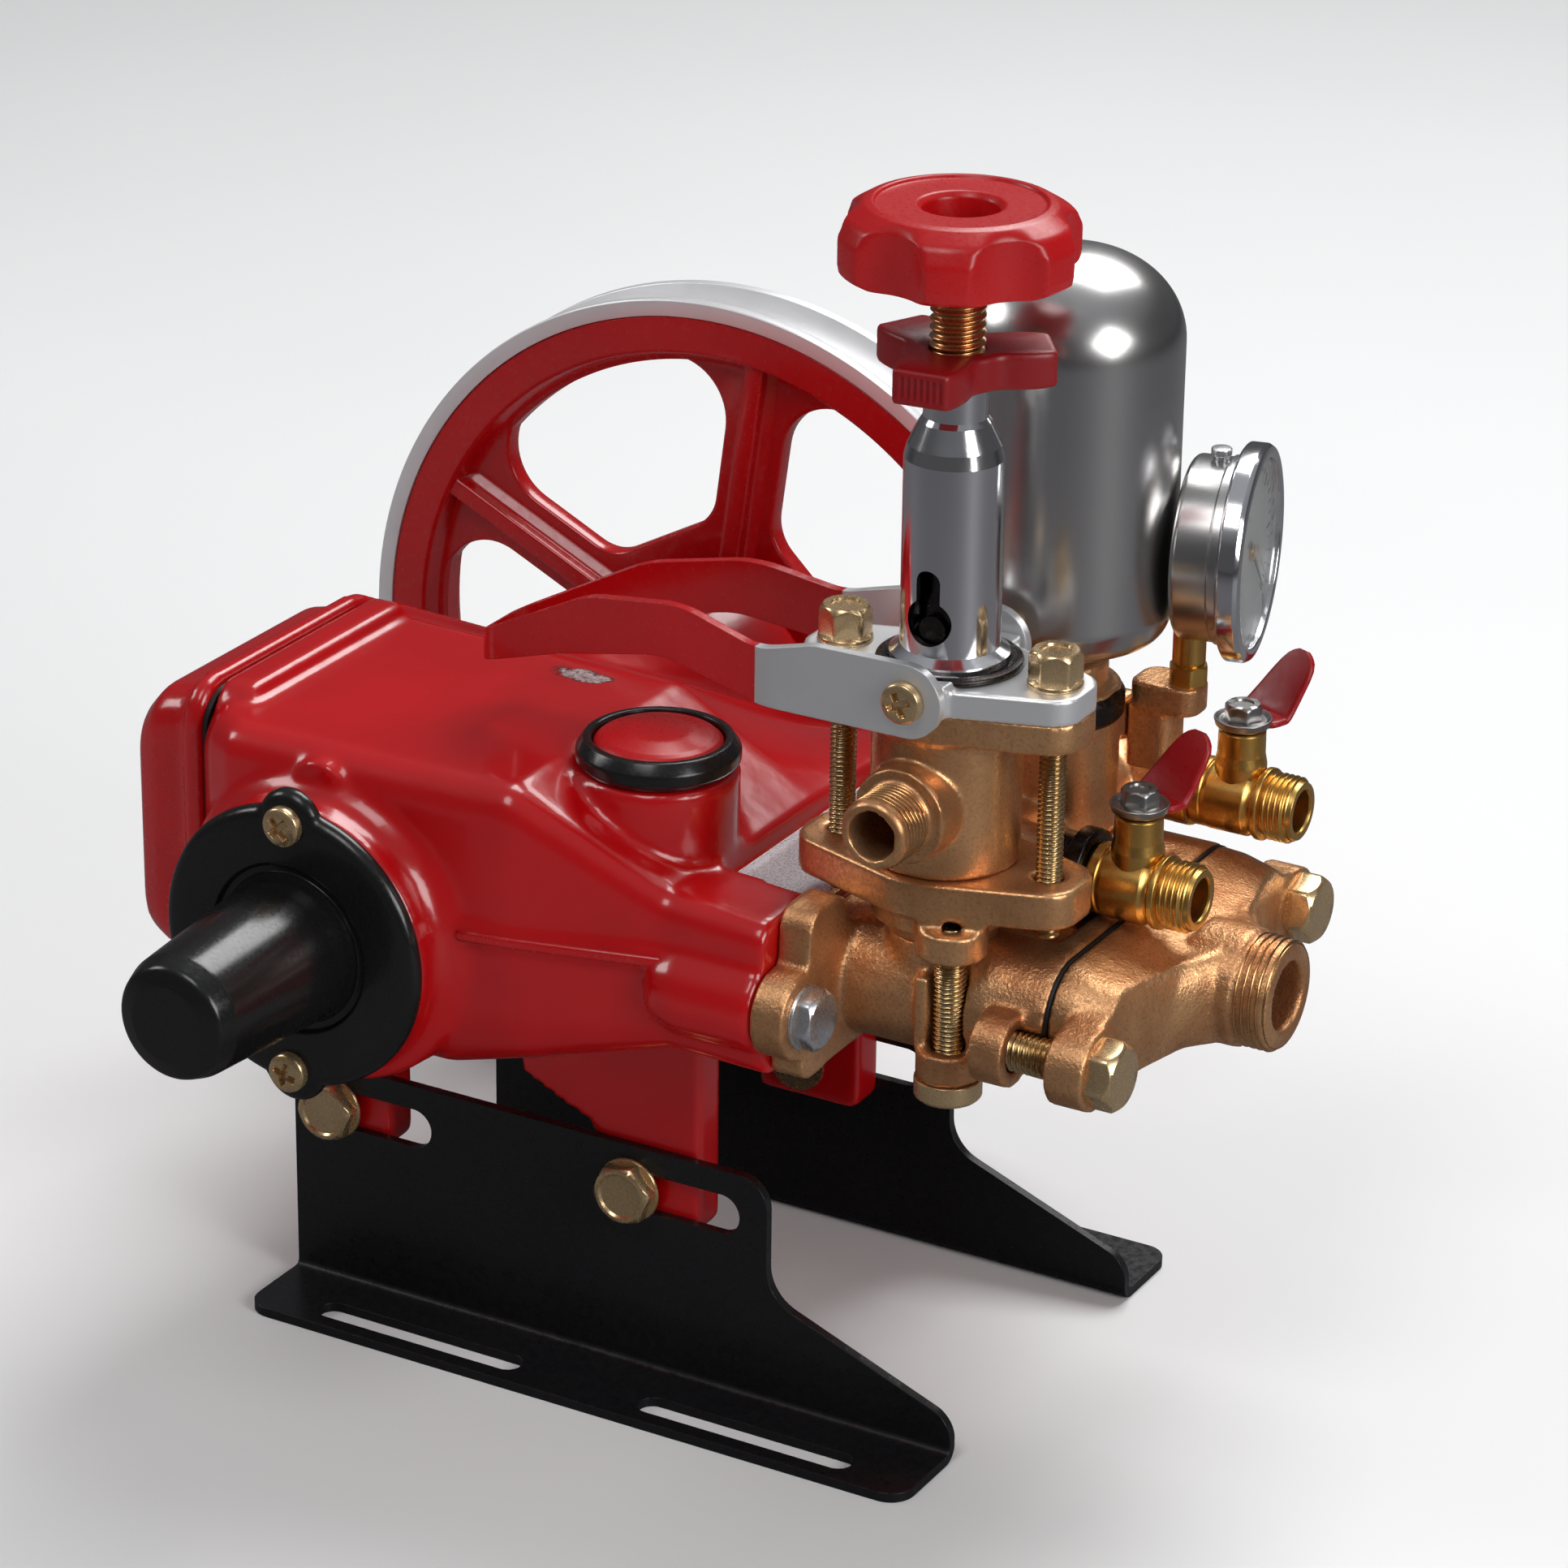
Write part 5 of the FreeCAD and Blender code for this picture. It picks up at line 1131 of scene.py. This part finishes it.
@dataclass
class Fasteners:
    """Hexagon bolts of block, brackets, suction cover, clamps and regulator.

    The rods are one piece of their own, because their finish is darker than that of the heads.
    """

    block: tuple[float, float] = (79.0, 85.0)
    bracket_x: tuple[float, float] = (-103.0, 5.5)
    bracket_y: float = 60.1
    bracket_z: float = 62.5
    bracket_grip: float = 17.0
    ear: Point = (165.5, 67.0, 145.5)
    clamp: Point = (114.5, 62.0, 129.5)
    stud_reach: float = 34.0
    stud_top: float = 251.0

    def rod(self, radius: float, pitch: float, length: float, base: Point, axis: Point) -> list[Patch]:
        """Threaded rod with flat ends."""
        depth = 0.55 * pitch
        return threaded_rod(radius, pitch, depth, radius - depth, length, base, axis, 36, 7)

    def block_bolt(self, s: int) -> list[Patch]:
        """Washer, head and shank of one bolt beside the cylinders."""
        seat = (self.block[0], s * self.block[1], SHAFT_Z)
        washer = [(0, 0), (9.6, 0), (9.8, 0.4, 0.3), (9.6, 1.2, 0.3), (0, 1.2)]
        return [turned(washer, seat, X_AXIS, 64),
                hex_bar(17.0, 6.5, moved(seat, X_AXIS, 0.1), X_AXIS, 1.5, 12),
                barrel(5, 28, moved(seat, X_AXIS, -28), X_AXIS, 32)]

    def bracket_bolt(self, x: float, s: int) -> list[Patch]:
        """Flanged head, shank and inner nut of one bracket bolt."""
        seat, out, inward = (x, s * self.bracket_y, self.bracket_z), (0, s, 0), (0, -s, 0)
        flange = [(0, 0), (10.2, 0), (10.5, 0.5, 0.4), (10.2, 1.3, 0.4), (0, 1.4)]
        return [turned(flange, seat, out, 72),
                hex_bar(17.8, 6.4, moved(seat, out, 0.2), out, 1.3, 10, 7.4),
                barrel(5, self.bracket_grip, seat, inward, 32),
                barrel(9.8, 1.2, moved(seat, inward, self.bracket_grip), inward, 48)]

    def clamp_bolt(self, s: int) -> tuple[list[Patch], list[Patch]]:
        """Round head and upright rod of one clamp bolt."""
        seat = (self.clamp[0], s * self.clamp[1], self.clamp[2])
        head = [(0, 0), (10, 0, 0.2), (10.1, 0.6, 0.3), (10.1, 5.4, 0.9), (9.0, 6.5, 0.6), (0, 6.6)]
        rod = self.rod(5.0, 1.5, 48.4, moved(seat, Z_AXIS, -0.4), Z_AXIS)
        return [turned(head, seat, DOWN_AXIS)], rod

    def suction_bolt(self, s: int) -> tuple[list[Patch], list[Patch]]:
        """Head and rod of one suction cover bolt."""
        seat = (self.ear[0], s * self.ear[1], self.ear[2])
        rod = self.rod(6.0, 1.75, 37.5, moved(seat, X_AXIS, -37.0), X_AXIS)
        return [hex_bar(19.0, 8.0, seat, X_AXIS, 2.0, 14)], rod

    def regulator_bolt(self, s: int) -> tuple[list[Patch], list[Patch]]:
        """Flanged head and long rod of one regulator bolt."""
        seat = (REGULATOR[0] + s * self.stud_reach, REGULATOR[1], self.stud_top)
        flange = [(0, 0), (8.0, 0), (8.2, 0.5, 0.4), (8.0, 1.4, 0.5), (7.0, 2.2, 0.4), (0, 2.4)]
        heads = [turned(flange, seat, Z_AXIS, 64),
                 hex_bar(14.0, 9.8, moved(seat, Z_AXIS, 1.0), Z_AXIS, 1.7, 25 * s, 4.6)]
        return heads, self.rod(4.0, 1.5, 78.4, moved(seat, Z_AXIS, -78.0), Z_AXIS)

    def build(self, shop: Workshop) -> None:
        """Every bolt, one piece for each kind."""
        heads = [p for s in SIDES for p in self.block_bolt(s)]
        shop.piece("block_bolts_hex", heads, "bright_zinc", "block_bolts")
        heads = [p for x in self.bracket_x for s in SIDES for p in self.bracket_bolt(x, s)]
        shop.piece("bracket_bolts_hex", heads, "yellow_zinc", "bracket_bolts")
        rods: list[Patch] = []
        kinds = (("suction_bolts_hex", "suction_bolts", self.suction_bolt),
                 ("clamp_bolts_round", "clamp_bolts", self.clamp_bolt),
                 ("regulator_bolts_hex", "regulator_bolts", self.regulator_bolt))
        for name, node, make in kinds:
            pairs = [make(s) for s in SIDES]
            shop.piece(name, [p for head, _ in pairs for p in head], "yellow_zinc", node)
            rods += [p for _, rod in pairs for p in rod]
        shop.piece("bolt_threads", rods, "thread_zinc", sharp=60)


@dataclass
class LiquidEnd:
    """Brass castings and worked parts of the regulator, kept from the solids."""

    block: Cast = (1.25, 3)
    manifold: Cast = (1.15, 2)
    suction: Cast = (1.1, 2)
    regulator: Cast = (1.0, 2)
    flange: Cast = (0.8, 2)
    gauge_block: Cast = (0.8, 4)

    def build(self, shop: Workshop) -> None:
        """Dresses block, manifold, covers and the regulator."""
        shop.keep("valve_block", "cast_brass", self.block)
        shop.keep("discharge_manifold", "cast_brass_fine", self.manifold)
        shop.keep("suction_cover", "cast_brass", self.suction)
        shop.keep("suction_gasket", "black_rubber")
        shop.keep("regulator_body", "cast_brass_fine", self.regulator)
        shop.keep("regulator_flange", "satin_zinc", self.flange)
        shop.keep("gauge_block", "cast_brass", self.gauge_block)
        shop.keep("spring_housing", "chrome")
        shop.keep("spring_stem", "dark_steel")
        shop.keep("relief_lever_fork", "satin_zinc")
        shop.keep("relief_lever_handle", "red_enamel_plain")


@dataclass
class LeverPivots:
    """Two cross-headed screws of the relief lever."""

    x: float = 103.0
    y: float = -45.0
    z: float = 248.3
    seat: float = 28.4

    def build(self, shop: Workshop) -> None:
        """Heads and shanks."""
        parts = []
        for s in SIDES:
            seat = (self.x, self.y + s * self.seat, self.z)
            parts += [cross_head(6.2, 3.4, seat, (0, s, 0), 25), barrel(3, 11.9, seat, (0, -s, 0), 40)]
        shop.piece("lever_pivot_screws", parts, "yellow_zinc", "lever_pivots", sharp=30)


@dataclass
class PulleyWheel:
    """Red five-spoked wheel with a machined band and groove; angles run from +X towards +Z."""

    centre: Point = (SHAFT_X, 121.5, SHAFT_Z)
    radius: float = 130.5
    ring: float = 5.5
    width: float = 24.5
    rim_inner: float = 112.0
    hub_r: float = 27.0
    bore_r: float = 12.6
    web: float = 3.5
    rib_half: float = 3.5
    rib_rise: float = 6.5
    spoke_half: float = 11.0
    spokes: int = 5
    first: float = 10.5
    tangent: float = 12.0

    def window(self) -> Array:
        """Outline of one window about its sector's bisector, with its large corners rounded."""
        half = math.pi / self.spokes
        lean = half - math.radians(self.tangent)
        c, s, w = math.cos(half), math.sin(half), self.spoke_half
        outer, inner = self.rim_inner - 3, self.hub_r + 22
        start = (inner - w * s) / c
        reach = (outer - w * math.sin(lean)) / math.cos(lean)
        (u0, v0), (u1, v1) = ((along * c + w * s, along * s - w * c) for along in (start, reach))
        inner_r, outer_r = (outer - inner) * 0.25, outer * 0.19
        crown = outer / math.cos(math.radians(self.tangent))
        return rounded([(u0, -v0, inner_r), (u1, -v1, outer_r), (crown, 0.0, outer), (u1, v1, outer_r),
                        (u0, v0, inner_r)], 24, closed=True)

    def placed(self, turn: float, u: Array, v: Array, offset: Array) -> Array:
        """Points at u along and v across the direction turn, offset from the wheel's middle plane."""
        x, z = turned_by(turn, u, v)
        cx, cy, cz = self.centre
        return np.stack([cx + x, cy + self.width / 2 + offset, cz + z], -1)

    def border(self, t: Array, m: float) -> Array:
        """Distance from the window's middle m to its sector's border in direction t.

        It is the nearest of the rim circle, the hub circle and the two spoke lines:
        rho = m sin h / sin(t - h) for a spoke line, and the root of |m + rho d| = R for a circle.
        """
        half, far = math.pi / self.spokes + 0.003, 1e3
        side = np.abs(t)
        spoke = m * math.sin(half) / np.maximum(np.sin(side - half), 1e-3)
        spoke = np.where(side > half + 0.02, spoke, far)
        cosine = m * np.cos(t)
        rim = -cosine + np.sqrt(cosine ** 2 + (self.rim_inner + 1.0) ** 2 - m * m)
        under = cosine ** 2 + (self.hub_r - 4) ** 2 - m * m
        hub = np.where((under > 0) & (cosine < 0), -cosine - np.sqrt(np.maximum(under, 0)), far)
        return np.minimum(np.minimum(spoke, rim), hub)

    def sector(self, turn: float) -> Patch:
        """Web of one sector as rings from its window to its border, on both faces.

        The half thickness is the web plus a fillet at hub and rim.

        Args:
            turn: direction of the bisector in degrees.
        """
        m = (self.rim_inner + self.hub_r + 19) / 2
        corners = self.window()
        loop = np.concatenate([corners, corners[:1]])
        length = np.concatenate([[0.0], np.cumsum(np.hypot(*np.diff(loop, axis=0).T))])
        places = np.linspace(0, length[-1], 900, endpoint=False)
        u, v = (np.interp(places, length, loop[:, k]) for k in (0, 1))
        angle = np.arctan2(v, u - m)
        order = np.argsort(angle)
        t = np.linspace(-math.pi, math.pi, 144, endpoint=False)
        hole = np.interp(t, angle[order], np.hypot(u - m, v)[order], period=TAU)[None]
        share = (0.02, 0.06, 0.14, 0.26, 0.4, 0.5, 0.56, 0.61, 0.65, 0.69, 0.73, 0.78, 0.85, 1.0)
        land = hole + 1.0
        web = land + (self.border(t, m) - land) * np.array(share)[:, None]
        rho = np.concatenate([hole, hole + 0.3, land, web])
        u, v = m + rho * np.cos(t), rho * np.sin(t)
        r = np.hypot(u, v)
        high = self.web + 4.0 * smooth((self.hub_r + 5 - r) / 5)
        high += 2.0 * smooth((r - self.rim_inner + 4) / 4)
        high[:3] = self.web - np.array((1.1, 0.35, 0.0))[:, None]
        points = [self.placed(turn, u, v, -high)[::-1], self.placed(turn, u, v, high)]
        return Patch(np.concatenate(points), close_rows=True, close_cols=True)

    def rib(self, turn: float) -> Patch:
        """Rib of one spoke: a section with flared roots drawn from the hub to the rim.

        Args:
            turn: direction of the spoke in degrees.
        """
        n, h, s = self.rib_half - 0.3, self.web + self.rib_rise, self.web
        quarter = [(n, h, 1.1), (n + 0.3, s + 2.4, 2.4), (n + 3.6, s - 0.3)]
        right = quarter + [(a, -b, *c) for a, b, *c in reversed(quarter)]
        section = rounded(right + [(-a, b, *c) for a, b, *c in reversed(right)], closed=True)
        low, high = self.hub_r - 2.0, self.rim_inner + 2.0
        r, size = np.array([(low, 0), (low, 1), (high, 1), (high, 0)]).T[..., None]
        side, out = section[:, 0] * size, section[:, 1] * size
        return Patch(self.placed(turn, r + 0 * side, side, out), close_cols=True)

    def ring_of(self, half: Profile) -> Patch:
        """Ring about the shaft from one half of its profile, mirrored in the middle plane."""
        other = [(r, self.width - s, *c) for r, s, *c in reversed(half)]
        return turned([*half, *other], self.centre, Y_AXIS, 240, 3, loop=True)

    def build(self, shop: Workshop) -> None:
        """Casting, machined band, shaft and nut."""
        r, w, c, b, n = self.radius, self.width, self.rim_inner, self.hub_r, self.bore_r
        face, step = r - self.ring, 360.0 / self.spokes
        rim = [(c - 4, 8.9), (c - 1.6, 8.2, 1.5), (c + 0.3, 1.4, 1.2), (c + 1.4, 0.5, 1.0),
               (face - 0.6, 0.5, 0.3), (face - 0.2, 0.9), (face - 0.2, 4.4), (r - 13, 6.9)]
        hub = [(n, 0.3), (b - 1.4, 0.0, 1.2), (b - 0.6, 2.0, 1.0), (b + 1, 8.6, 2.0),
               (b + 1, w - 8.6, 2.0), (b - 0.6, w + 5, 2.0), (b - 1.4, w + 8, 1.2), (n, w + 7.7)]
        solids = [self.ring_of(rim), turned(hub, self.centre, Y_AXIS, 120, 4, loop=True)]
        solids += [self.sector(self.first + step * (i + 0.5)) for i in range(self.spokes)]
        solids += [self.rib(self.first + step * i) for i in range(self.spokes)]
        shop.piece("pulley_casting", solids, "red_enamel_plain", "pulley", body=Body.PULLEY, sharp=50)
        band = [(r - 12.8, 7.3), (face, 4.9), (face, 0.2), (face + 0.3, 0.0), (r - 0.4, 0.0), (r, 0.4),
                (r, 3.7, 0.4), (r - 12, 7.9, 0.6)]
        shop.piece("pulley_machined_band", [self.ring_of(band)], "machined_rim", body=Body.PULLEY,
                   sharp=40)
        shop.keep("crankshaft", "bright_zinc")


@dataclass
class PipeThreads:
    """Cut threads of suction pipe and by-pass port, and two dark rings.

    One ring, partly painted shade, sits at the spring housing's seat; the other is the union at the air
    chamber's neck.
    """

    suction: Point = (181.9, 0.0, SHAFT_Z)
    bypass: Point = (REGULATOR[0], -74.6, 213.0)

    def build(self, shop: Workshop) -> None:
        """Two screwed sleeves over the plain ends, and the rings."""
        sleeves = [thread(17.25, PITCH_G1, 1.35, 11.0, self.suction, X_AXIS, 96, 12),
                   thread(10.95, PITCH_G_HALF, 1.15, 13.6, self.bypass, NEAR_AXIS, 80, 12)]
        shop.piece("pipe_threads", sleeves, "thread_brass", slot=Slot.CAST_BRASS, sharp=60, closed=False)
        # dark seat ring: partly a real dark ring, partly painted shade of the groove and painted
        # reflection at the housing's base
        seat = [(17.2, 251.2), (21.6, 251.2, 0.6), (21.2, 252.8, 0.8), (19.4, 253.6, 0.8), (17.2, 252.6)]
        union = [(14.0, 212.5), (19.2, 212.5, 0.6), (20.2, 214.0, 0.8), (20.2, 219.5, 1.2),
                 (18.2, 222.6, 1.6), (14.0, 222.8)]
        rings = [turned(profile, (*place, 0.0), Z_AXIS, 96, 4, loop=True)
                 for profile, place in ((seat, REGULATOR), (union, CHAMBER))]
        shop.piece("dark_rings", rings, "dark_steel")


@dataclass
class Studio:
    """Pale floor, soft lamps and the camera at the photograph's viewing angle.

    A lamp is (place, aim, size in metres, watts), with its places in metres too.
    """

    azimuth: float = 29.392
    elevation: float = 23.259
    roll: float = 0.785
    focal: float = 6875.3
    scale: float = 3.876
    origin_px: tuple[float, float] = (878.115, 1582.788)
    half: float = 966.0
    sensor: float = 36.0
    floor_half: float = 6.0
    floor_drop: float = 0.0002
    lamps: list[tuple[Point, Point, float, float]] = field(default_factory=lambda: [
        ((0.0, 1.2, 1.9), (0.0, 0.0, 0.15), 1.2, 36.0),
        ((-1.6, -0.6, 1.3), (0.0, 0.0, 0.2), 0.6, 7.0),
        ((0.1, -1.3, 2.2), (0.0, 0.0, 0.15), 0.9, 12.0),
        ((1.6, -0.5, 0.9), (0.05, 0.0, 0.2), 0.8, 14.0),
    ])

    def build_camera(self) -> None:
        """Camera from the fitted angles: its place follows from where the origin lies in the frame."""
        a, e, r = map(math.radians, (self.azimuth, self.elevation, self.roll))
        look = np.array([-math.sin(a) * math.cos(e), math.cos(a) * math.cos(e), -math.sin(e)])
        right = np.array([math.cos(a), math.sin(a), 0.0])
        up = np.cross(right, look)
        across = math.cos(r) * right + math.sin(r) * up
        rise = -math.sin(r) * right + math.cos(r) * up
        away = self.focal / self.scale
        du, dv = ((px - self.half) / self.focal * away for px in self.origin_px)
        place = -(across * du - rise * dv + look * away) * MM
        data = bpy.data.cameras.new("camera")
        data.sensor_width = self.sensor
        data.lens = self.focal / (2 * self.half) * self.sensor
        data.clip_start = 0.05
        camera = bpy.data.objects.new("camera", data)
        rows = [(across[i], rise[i], -look[i], place[i]) for i in range(3)]
        camera.matrix_world = Matrix((*rows, (0, 0, 0, 1)))
        bpy.context.scene.collection.objects.link(camera)
        bpy.context.scene.camera = camera

    def build_lamps(self) -> None:
        """Square area lamps that look at the pump."""
        for i, (place, aim, size, power) in enumerate(self.lamps):
            data = bpy.data.lights.new(f"softbox_{i}", "AREA")
            data.shape = "SQUARE"
            data.size = size
            data.energy = power
            lamp = bpy.data.objects.new(f"softbox_{i}", data)
            u, v, w = frame_of(np.asarray(place) - np.asarray(aim))
            lamp.matrix_world = Matrix([(u[k], v[k], w[k], place[k]) for k in range(3)] + [(0, 0, 0, 1)])
            bpy.context.scene.collection.objects.link(lamp)

    def build_world(self) -> None:
        """Three worlds in one, by the kind of ray.

        Surfaces get an even dim light, reflections see a dark room with a paler ceiling, and the
        camera sees a pale backdrop.
        """
        world = bpy.data.worlds.new("studio")
        bpy.context.scene.world = world
        world.use_nodes = True
        g = Graph(world.node_tree)
        spot = g.add("ShaderNodeSeparateXYZ", {0: g.add("ShaderNodeTexCoord").outputs["Generated"]})
        room = g.ramp(spot.outputs["Z"], ((0.4, (0.075, 0.075, 0.08)), (0.95, (0.34, 0.35, 0.37))))
        light, seen, backdrop = (g.add("ShaderNodeBackground", inputs).outputs[0] for inputs in (
            {"Color": (1, 1, 1), "Strength": 0.17}, {"Color": room}, {"Color": (0.62, 0.63, 0.65)}))
        ray = g.add("ShaderNodeLightPath").outputs
        mix = g.add("ShaderNodeMixShader", {"Fac": ray["Is Glossy Ray"], 1: light, 2: seen}).outputs[0]
        last = g.add("ShaderNodeMixShader", {"Fac": ray["Is Camera Ray"], 1: mix, 2: backdrop}).outputs[0]
        g.add("ShaderNodeOutputWorld", {"Surface": last})

    def build_floor(self) -> None:
        """Wide flat pale floor just under the feet."""
        line = np.linspace(-self.floor_half, self.floor_half, 25)
        x, y = np.meshgrid(line, line, indexing="ij")
        points = np.stack([x, y, 0 * x - self.floor_drop], -1) / MM
        floor = make_mesh("floor", [Patch(points)], closed=False)
        g = Shader("floor_paper")
        faint = g.noise(3.0, 2.0)
        pale = g.mixed(faint, (0.80, 0.805, 0.81), (0.84, 0.845, 0.85))
        glossy = g.add("ShaderNodeLightPath").outputs["Is Glossy Ray"]
        g.set(Base_Color=g.mixed(glossy, pale, (0.11, 0.11, 0.12)), Roughness=g.spread(faint, 0.6, 0.7))
        floor.data.materials.append(g.material)

    def build(self) -> None:
        """Whole studio."""
        self.build_camera()
        self.build_lamps()
        self.build_world()
        self.build_floor()
        bpy.context.scene.view_settings.view_transform = "Standard"


def main() -> None:
    """Builds the pump and its studio."""
    logging.basicConfig(level=logging.INFO, format="%(name)s: %(message)s")
    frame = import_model()
    shop = Workshop(Palette(), frame["nodes"])
    valves = [
        # the near collar's dark finish is partly its own and partly painted shade of the gap below the
        # valve
        BallValve("near", -14.0, 11.0, 14.0, "dark_steel", 71.0, Body.VALVE_LEVER_NEAR),
        BallValve("far", 60.0, 8.9, 11.6, "smooth_brass", 67.0, Body.VALVE_LEVER_FAR),
    ]
    pieces = [Housing(), FillerPlug(), ShaftEndCover(), PulleyWheel(), LiquidEnd(), PipeThreads(),
              LeverPivots(), Fasteners(), AirChamber(), Gauge(), Knob(), *valves]
    for piece in pieces:
        piece.build(shop)
    Studio().build()


if __name__ == "__main__":
    main()
